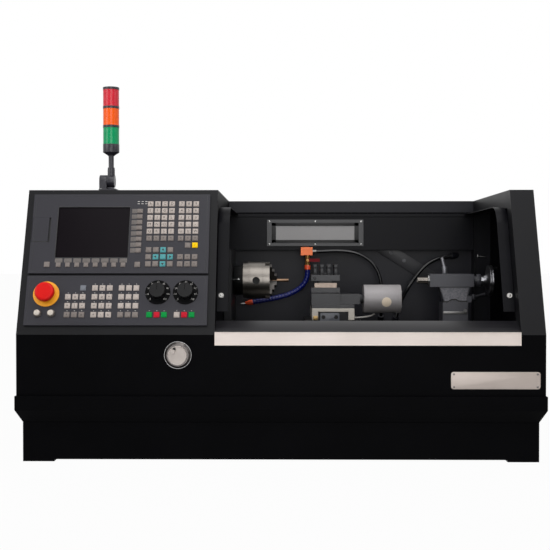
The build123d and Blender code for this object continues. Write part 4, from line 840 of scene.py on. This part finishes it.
# Turret motor: a satin aluminium can with end rings and a plain round cream label.
# Four screws hold its end cap.
# Even pale grey with a soft sheen
satin = surface("satin_anodised_aluminium", "#a29e9f", "#908c8d", rough=0.5, grain_mm=0.5, depth_mm=0.01,
                stretch=(1, 0.05, 0.05), metallic=0.2)
coat_nodes(satin, "turret_motor", 0.8)
motor_y, motor_z, motor_radius, cap_ring = 45, 361, 37.0, 28
mesh = bmesh.new()
for x in (221.0, 305.5):
    turned(mesh, (x, motor_y, motor_z), (1, 0, 0), ((36.0, 0), (36.95, 0), (37.1, 0.3), (37.1, 1.2),
                                                    (36.95, 1.5), (36.0, 1.5), (36.0, 0)), 80)
for turn in (45, 135, 225, 315):
    angle = math.radians(turn)
    at = (313.0, motor_y + cap_ring * math.cos(angle), motor_z + cap_ring * math.sin(angle))
    cross_screw(mesh, at, (1, 0, 0), 3.0, 1.8, 0, 1)
piece("turret_motor_rings", mesh, "cross_slide", [satin, black_and_painted_shade])
# Plain cream paper
label_cream = surface("cream_paper_label", "#e6d6c0", "#d9c8b2", rough=0.55, grain_mm=1.0, depth_mm=0.01)
label_radius, label_drop = 12.5, 7.5
mesh = bmesh.new()
made = bmesh.ops.create_circle(mesh, cap_ends=True, cap_tris=False, radius=label_radius,
                               segments=40)["verts"]
bmesh.ops.rotate(mesh, verts=made, cent=(0, 0, 0), matrix=Matrix.Rotation(math.radians(90), 3, "X"))
for z in range(-11, 12, 2):
    bmesh.ops.bisect_plane(mesh, geom=mesh.verts[:] + mesh.edges[:] + mesh.faces[:], plane_co=(0, 0, z),
                           plane_no=(0, 0, 1))
for v in mesh.verts:
    v.co.y = motor_y - math.sqrt(motor_radius ** 2 - (v.co.z - label_drop) ** 2)
bmesh.ops.translate(mesh, verts=mesh.verts, vec=(273.7, 0, motor_z - label_drop))
piece("turret_motor_label", mesh, "cross_slide", [label_cream])

# Tailstock: a dark grey casting on the ways, its neck face machined to a wavy parting line.
# A steel quill, a chromed handwheel and two clamp levers are fitted to it.
# Dark grey enamel over a slightly rough casting
tail_grey = surface("dark_grey_machine_enamel", "#45454b", "#38383e", rough=0.4, grain_mm=1.2,
                    depth_mm=0.08)
coat_nodes(tail_grey, "tailstock", 1.2)
# Ground steel with fine rings
quill_steel = surface("ground_quill_steel", "#79746f", "#5c5854", rough=0.24, grain_mm=0.5, depth_mm=0.02,
                      stretch=(1, 0.05, 0.05), metallic=1.0)
coat_nodes(quill_steel, "quill", 0.6)
# Dulled mirror
chrome = surface("dulled_chrome_plate", "#a2a2a6", "#87878b", rough=0.28, grain_mm=1.5, depth_mm=0.005,
                 metallic=1.0)
coat_nodes(chrome, "tail_handwheel", 0.6)
# Pale grey metal
lever_grey = surface("satin_zinc_lever", "#8a8a8e", "#757579", rough=0.42, grain_mm=0.8, depth_mm=0.02,
                     metallic=0.8)
coat_nodes(lever_grey, "quill_lever", 0.6)
# Dark grey metal
lever_dark = surface("dark_zinc_lever", "#4c4c50", "#3c3c40", rough=0.42, grain_mm=0.8, depth_mm=0.02,
                     metallic=0.6)
coat_nodes(lever_dark, "clamp_lever", 0.6)
mesh = bmesh.new()
# The second outline, 4 mm higher and behind, is dead black: the painted shadow line above the wavy parting
wave = ((436, 349), (448, 348), (454, 352), (459, 354.3), (470, 354.3), (476, 350.5), (482, 349.5),
        (501, 349.5))
shapes = ((105.9, 3.0, ((436, 343), *wave, (501, 343))),
          (108.0, 3.0, ((436, 343), *((x, z + 4.0) for x, z in wave), (501, 343))),
          (117.5, 0.7, ((442, 350), (430.5, 387.5), (504.5, 387.5), (498.5, 350))))
for finish, (near, thick, shape) in enumerate(shapes):
    corners = [mesh.verts.new((x, near, z)) for x, z in shape]
    outline = mesh.faces.new(corners)
    grown = bmesh.ops.extrude_face_region(mesh, geom=[outline])["geom"]
    back = [v for v in grown if isinstance(v, bmesh.types.BMVert)]
    bmesh.ops.translate(mesh, vec=(0, thick, 0), verts=back)
    for f in {f for v in corners + back for f in v.link_faces}:
        f.material_index = finish
# Grey with a coarse scatter of light and dark
blasted = surface("shot_blasted_casting_face", "#77767c", "#4e4e53", rough=0.5, grain_mm=3.0, depth_mm=0.3,
                  patch_mm=6)
piece("tailstock_parting_edge", mesh, "tailstock", [tail_grey, black_and_painted_shade, blasted])
# Milled grey metal with lines along it
bar_steel = surface("milled_clamp_bar", "#8e8d8c", "#757473", rough=0.42, grain_mm=0.7, depth_mm=0.02,
                    stretch=(0.05, 1, 1), metallic=0.8)
mesh = bmesh.new()
slab(mesh, (435, 103.6, 317.5), (499, 106.2, 325.0), 0.6)
turned(mesh, (494, 103.8, 326.5), (0, -1, 0), ((0, 0), (5.0, 0), (5.0, 3.4), (4.4, 4.2), (2.4, 4.2),
                                               (2.4, 2.6), (0, 2.6)), 6)
piece("tailstock_clamp_bar", mesh, "tailstock", [bar_steel])
mesh = bmesh.new()
turned(mesh, (400.6, axis_y, axis_z), (-1, 0, 0), ((9.3, -0.2), (15.4, -0.2), (15.4, 1.8), (14.0, 3.0),
                                                   (9.3, 3.0), (9.3, -0.2)), 40)
piece("tailstock_fittings", mesh, "tailstock", [screw_steel])
mesh = bmesh.new()
turned(mesh, (567.0, axis_y, axis_z), (1, 0, 0),
       ((34.6, -1.0), (38.0, -1.8), (41.0, -0.4), (41.6, 2.2), (40.4, 4.6), (37.0, 5.4), (34.6, 4.6),
        (34.0, 2.0), (34.6, -1.0)), 64)
turned(mesh, (549.0, axis_y, axis_z), (1, 0, 0),
       ((12.1, 0), (13.0, 1.0), (15.0, 4.5), (20.0, 8.4), (28.0, 12.4), (36.0, 15.4), (37.0, 17.0),
        (12.1, 17.0), (12.1, 0)), 64)
piece("tail_wheel_dish", mesh, "tail_wheel", [chrome])

# Wall peg: a small plain T-headed pin on the right inner wall.
# It is turned steel, pressed into the sheet.
mesh = bmesh.new()
turned(mesh, (548.0, 103, 472.3), (-1, 0, 0), ((0, 0), (1.9, 0), (1.9, 19.6), (5.6, 19.8), (5.6, 22.2),
                                               (5.0, 22.8), (0, 22.8)), 20)
piece("wall_peg", mesh, "machine", [screw_steel])

# Coolant valve: a plain orange anodised block on the lamp panel with a red lever.
# Its tail is drawn brass with two rings, and a turned orange collar under it takes the hose.
# Orange with a metal's sheen
orange = surface("orange_anodised_block", "#d97440", "#bf5520", rough=0.36, grain_mm=1.0, depth_mm=0.02,
                 metallic=0.35)
coat_nodes(orange, "coolant_valve", 0.8)
# Deep red, hardly shiny
lever_red = surface("red_lever_sleeve", "#7c0a18", "#640812", rough=0.4, grain_mm=1.0, depth_mm=0.02,
                    specular_ior_level=0.1)
coat_nodes(lever_red, "valve_lever", 0.6)
# Yellow brass
tail_brass = surface("drawn_brass_tail", "#b48c48", "#937036", rough=0.38, grain_mm=0.6, depth_mm=0.02,
                     metallic=0.45)
valve_x, valve_y, collar_foot = 74, 261, 435.7
mesh = bmesh.new()
turned(mesh, (valve_x, valve_y, 447.5), (0, 0, 1), ((0, 0), (6.3, 0), (6.3, 9.0), (7.2, 9.6), (7.2, 12.0),
                                                    (6.3, 12.6), (6.3, 20.0), (7.2, 20.6), (7.2, 23.0),
                                                    (6.3, 23.6), (6.3, 28.4), (0, 28.4)), 32)
turned(mesh, (valve_x, 255.4, 462), (0, -1, 0), ((0, 0), (4.3, 0), (4.3, 10.0), (3.6, 10.7), (0, 10.7)), 20)
piece("valve_tail", mesh, "machine", [tail_brass])
# Bright orange plastic
ring_orange = surface("orange_acetal", "#e8542a", "#d84a22", rough=0.35, grain_mm=1.0, depth_mm=0.02)
mesh = bmesh.new()
turned(mesh, (valve_x, valve_y, collar_foot), (0, 0, 1),
       ((6.6, 0), (8.3, 0), (8.7, 0.5), (8.7, 12.0), (8.3, 12.6), (6.6, 12.6), (6.6, 0)), 32)
piece("valve_ring", mesh, "machine", [ring_orange])


# Coolant hose: blue acetal links snapped together ball in socket, with an orange nozzle.
# Each link is a bulb with a narrower waist to the next, so the hose bends and stays.
def route(name, points):
    # A smooth spline on a route's points, given in millimetres
    line = bpy.data.curves.new(name, "CURVE")
    line.dimensions = "3D"
    spline = line.splines.new("NURBS")
    spline.points.add(len(points) - 1)
    for spot, at in zip(spline.points, points):
        spot.co = (at[0] / 1000, at[1] / 1000, at[2] / 1000, 1)
    spline.order_u = 3
    spline.use_endpoint_u = True
    spline.resolution_u = 12
    return line


def tube(name, points, diameter, finish, body, node):
    # A round tube on that spline in place of its solid
    line = route(name, points)
    line.bevel_depth = diameter / 2000
    line.bevel_resolution = 6
    line.use_fill_caps = True
    line.materials.append(finish)
    made = bpy.data.objects.new(name, line)
    scene.collection.objects.link(made)
    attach(made, body)
    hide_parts(node)
    return made


def stations(name, points):
    # Points along the spline, in millimetres
    bare = bpy.data.objects.new(name, route(name, points))
    scene.collection.objects.link(bare)
    line = bpy.data.meshes.new_from_object(bare.evaluated_get(bpy.context.evaluated_depsgraph_get()))
    found = [v.co * 1000 for v in line.vertices]
    bpy.data.meshes.remove(line)
    curve = bare.data
    bpy.data.objects.remove(bare)
    bpy.data.curves.remove(curve)
    return found


def along(found, pitch):
    # Places a fixed pitch apart along those points, each with its direction
    spots, left = [], pitch / 2
    for a, b in zip(found, found[1:]):
        run = (b - a).length
        while left <= run:
            spots.append((a + (b - a) * (left / run), (b - a).normalized()))
            left += pitch
        left -= run
    return spots


hose_points = [(74, 261, 436), (74, 261, 418), (67, 261, 398), (50, 261, 380), (25, 260, 366),
               (-6, 259, 357), (-38, 258, 350.5), (-68, 257, 345.5), (-90, 256, 342)]
# Deep glossy blue
blue = surface("blue_moulded_acetal", "#0d1b70", "#091350", rough=0.28, grain_mm=1.0, depth_mm=0.02)
hose = tube("coolant_hose_core", hose_points, 13, blue, "machine", "coolant_hose")
link_pitch = 9.2
links = bmesh.new()
for at, way in along(stations("hose_line", hose_points), link_pitch):
    turned(links, at - way * 4.4, way, ((6.0, 0), (6.9, 0.4), (7.3, 2.4), (7.2, 4.6), (6.9, 6.6),
                                        (6.2, 8.2), (6.0, 8.6)), 24)
links = piece("coolant_hose_links", links, "machine", [blue])
tip = Vector(hose_points[-1])
way = (tip - Vector(hose_points[-2])).normalized()
mesh = bmesh.new()
turned(mesh, tip, way, ((6.4, -9.0), (7.2, -8.6), (7.6, -6.0), (7.6, 2.0), (6.2, 5.0), (4.6, 10.0),
                        (3.6, 13.0), (0, 13.0)), 32)
turned(mesh, tip, way, ((0, 12.6), (2.5, 12.6), (2.5, 24.4), (1.7, 24.4), (1.7, 20.0), (0, 20.0)), 20, 1)
nozzle = piece("coolant_nozzle", mesh, "machine", [ring_orange, screw_steel])

# Supply hose: a dark glossy polyurethane tube from a bright union on the valve down to the rear wall.
# It hangs in one curve behind the turret motor.
# Black and shiny, with a long highlight
hose_grey = surface("dark_polyurethane_tube", "#0e0e10", "#09090b", rough=0.16, grain_mm=1.0,
                    depth_mm=0.01)
supply_points = [(88, 261, 487), (112, 261, 487), (148, 262, 489.5), (188, 262, 488), (222, 262, 480),
                 (250, 262, 463), (270, 262, 440), (281, 262, 412), (285, 262, 380), (286, 264, 350),
                 (286, 274, 324), (286, 294, 304)]
supply = tube("supply_tube", supply_points, 9, hose_grey, "machine", "supply_hose")
mesh = bmesh.new()
turned(mesh, (87.8, 261, 487), (1, 0, 0), ((4.4, 0), (6.4, 0), (6.4, 4.0), (5.6, 4.8), (5.1, 5.2),
                                           (5.1, 11.0), (4.4, 11.4)), 24)
piece("supply_union", mesh, "machine", [rivet_metal])

# Wall conduit: a ribbed plastic tube looped across the rear wall, with both ends let into it.
# Its ribs are moulded 3 mm apart and drawn as separate rings.
conduit_points = [(330, 294, 300), (333, 275, 322), (342, 262, 352), (359, 256, 384), (380, 255, 416),
                  (404, 256, 444), (432, 260, 462), (462, 270, 471), (486, 294, 474)]
conduit = tube("wall_conduit_core", conduit_points, 10, hose_grey, "machine", "wall_conduit")
rib_pitch = 3.0
ribs = bmesh.new()
for at, way in along(stations("conduit_line", conduit_points), rib_pitch):
    turned(ribs, at - way * 0.8, way, ((4.8, 0), (5.4, 0.4), (5.4, 1.2), (4.8, 1.6)), 16)
ribs = piece("wall_conduit_ribs", ribs, "machine", [hose_grey])

# Motor lead: a thin pale cable from the slide's right leg up under the turret motor.
# Its sheath is light grey.
# Pale grey, smooth
lead_grey = surface("pale_grey_cable_sheath", "#b4b0ac", "#a29e9a", rough=0.4, grain_mm=1.0, depth_mm=0.01)
lead_points = [(190, 30, 312), (202, 30, 312), (216, 31, 313.4), (230, 35, 315.6), (239, 40, 318.2),
               (245, 44.2, 321.2)]
lead = tube("motor_lead_sheath", lead_points, 4.4, lead_grey, "cross_slide", "motor_lead")
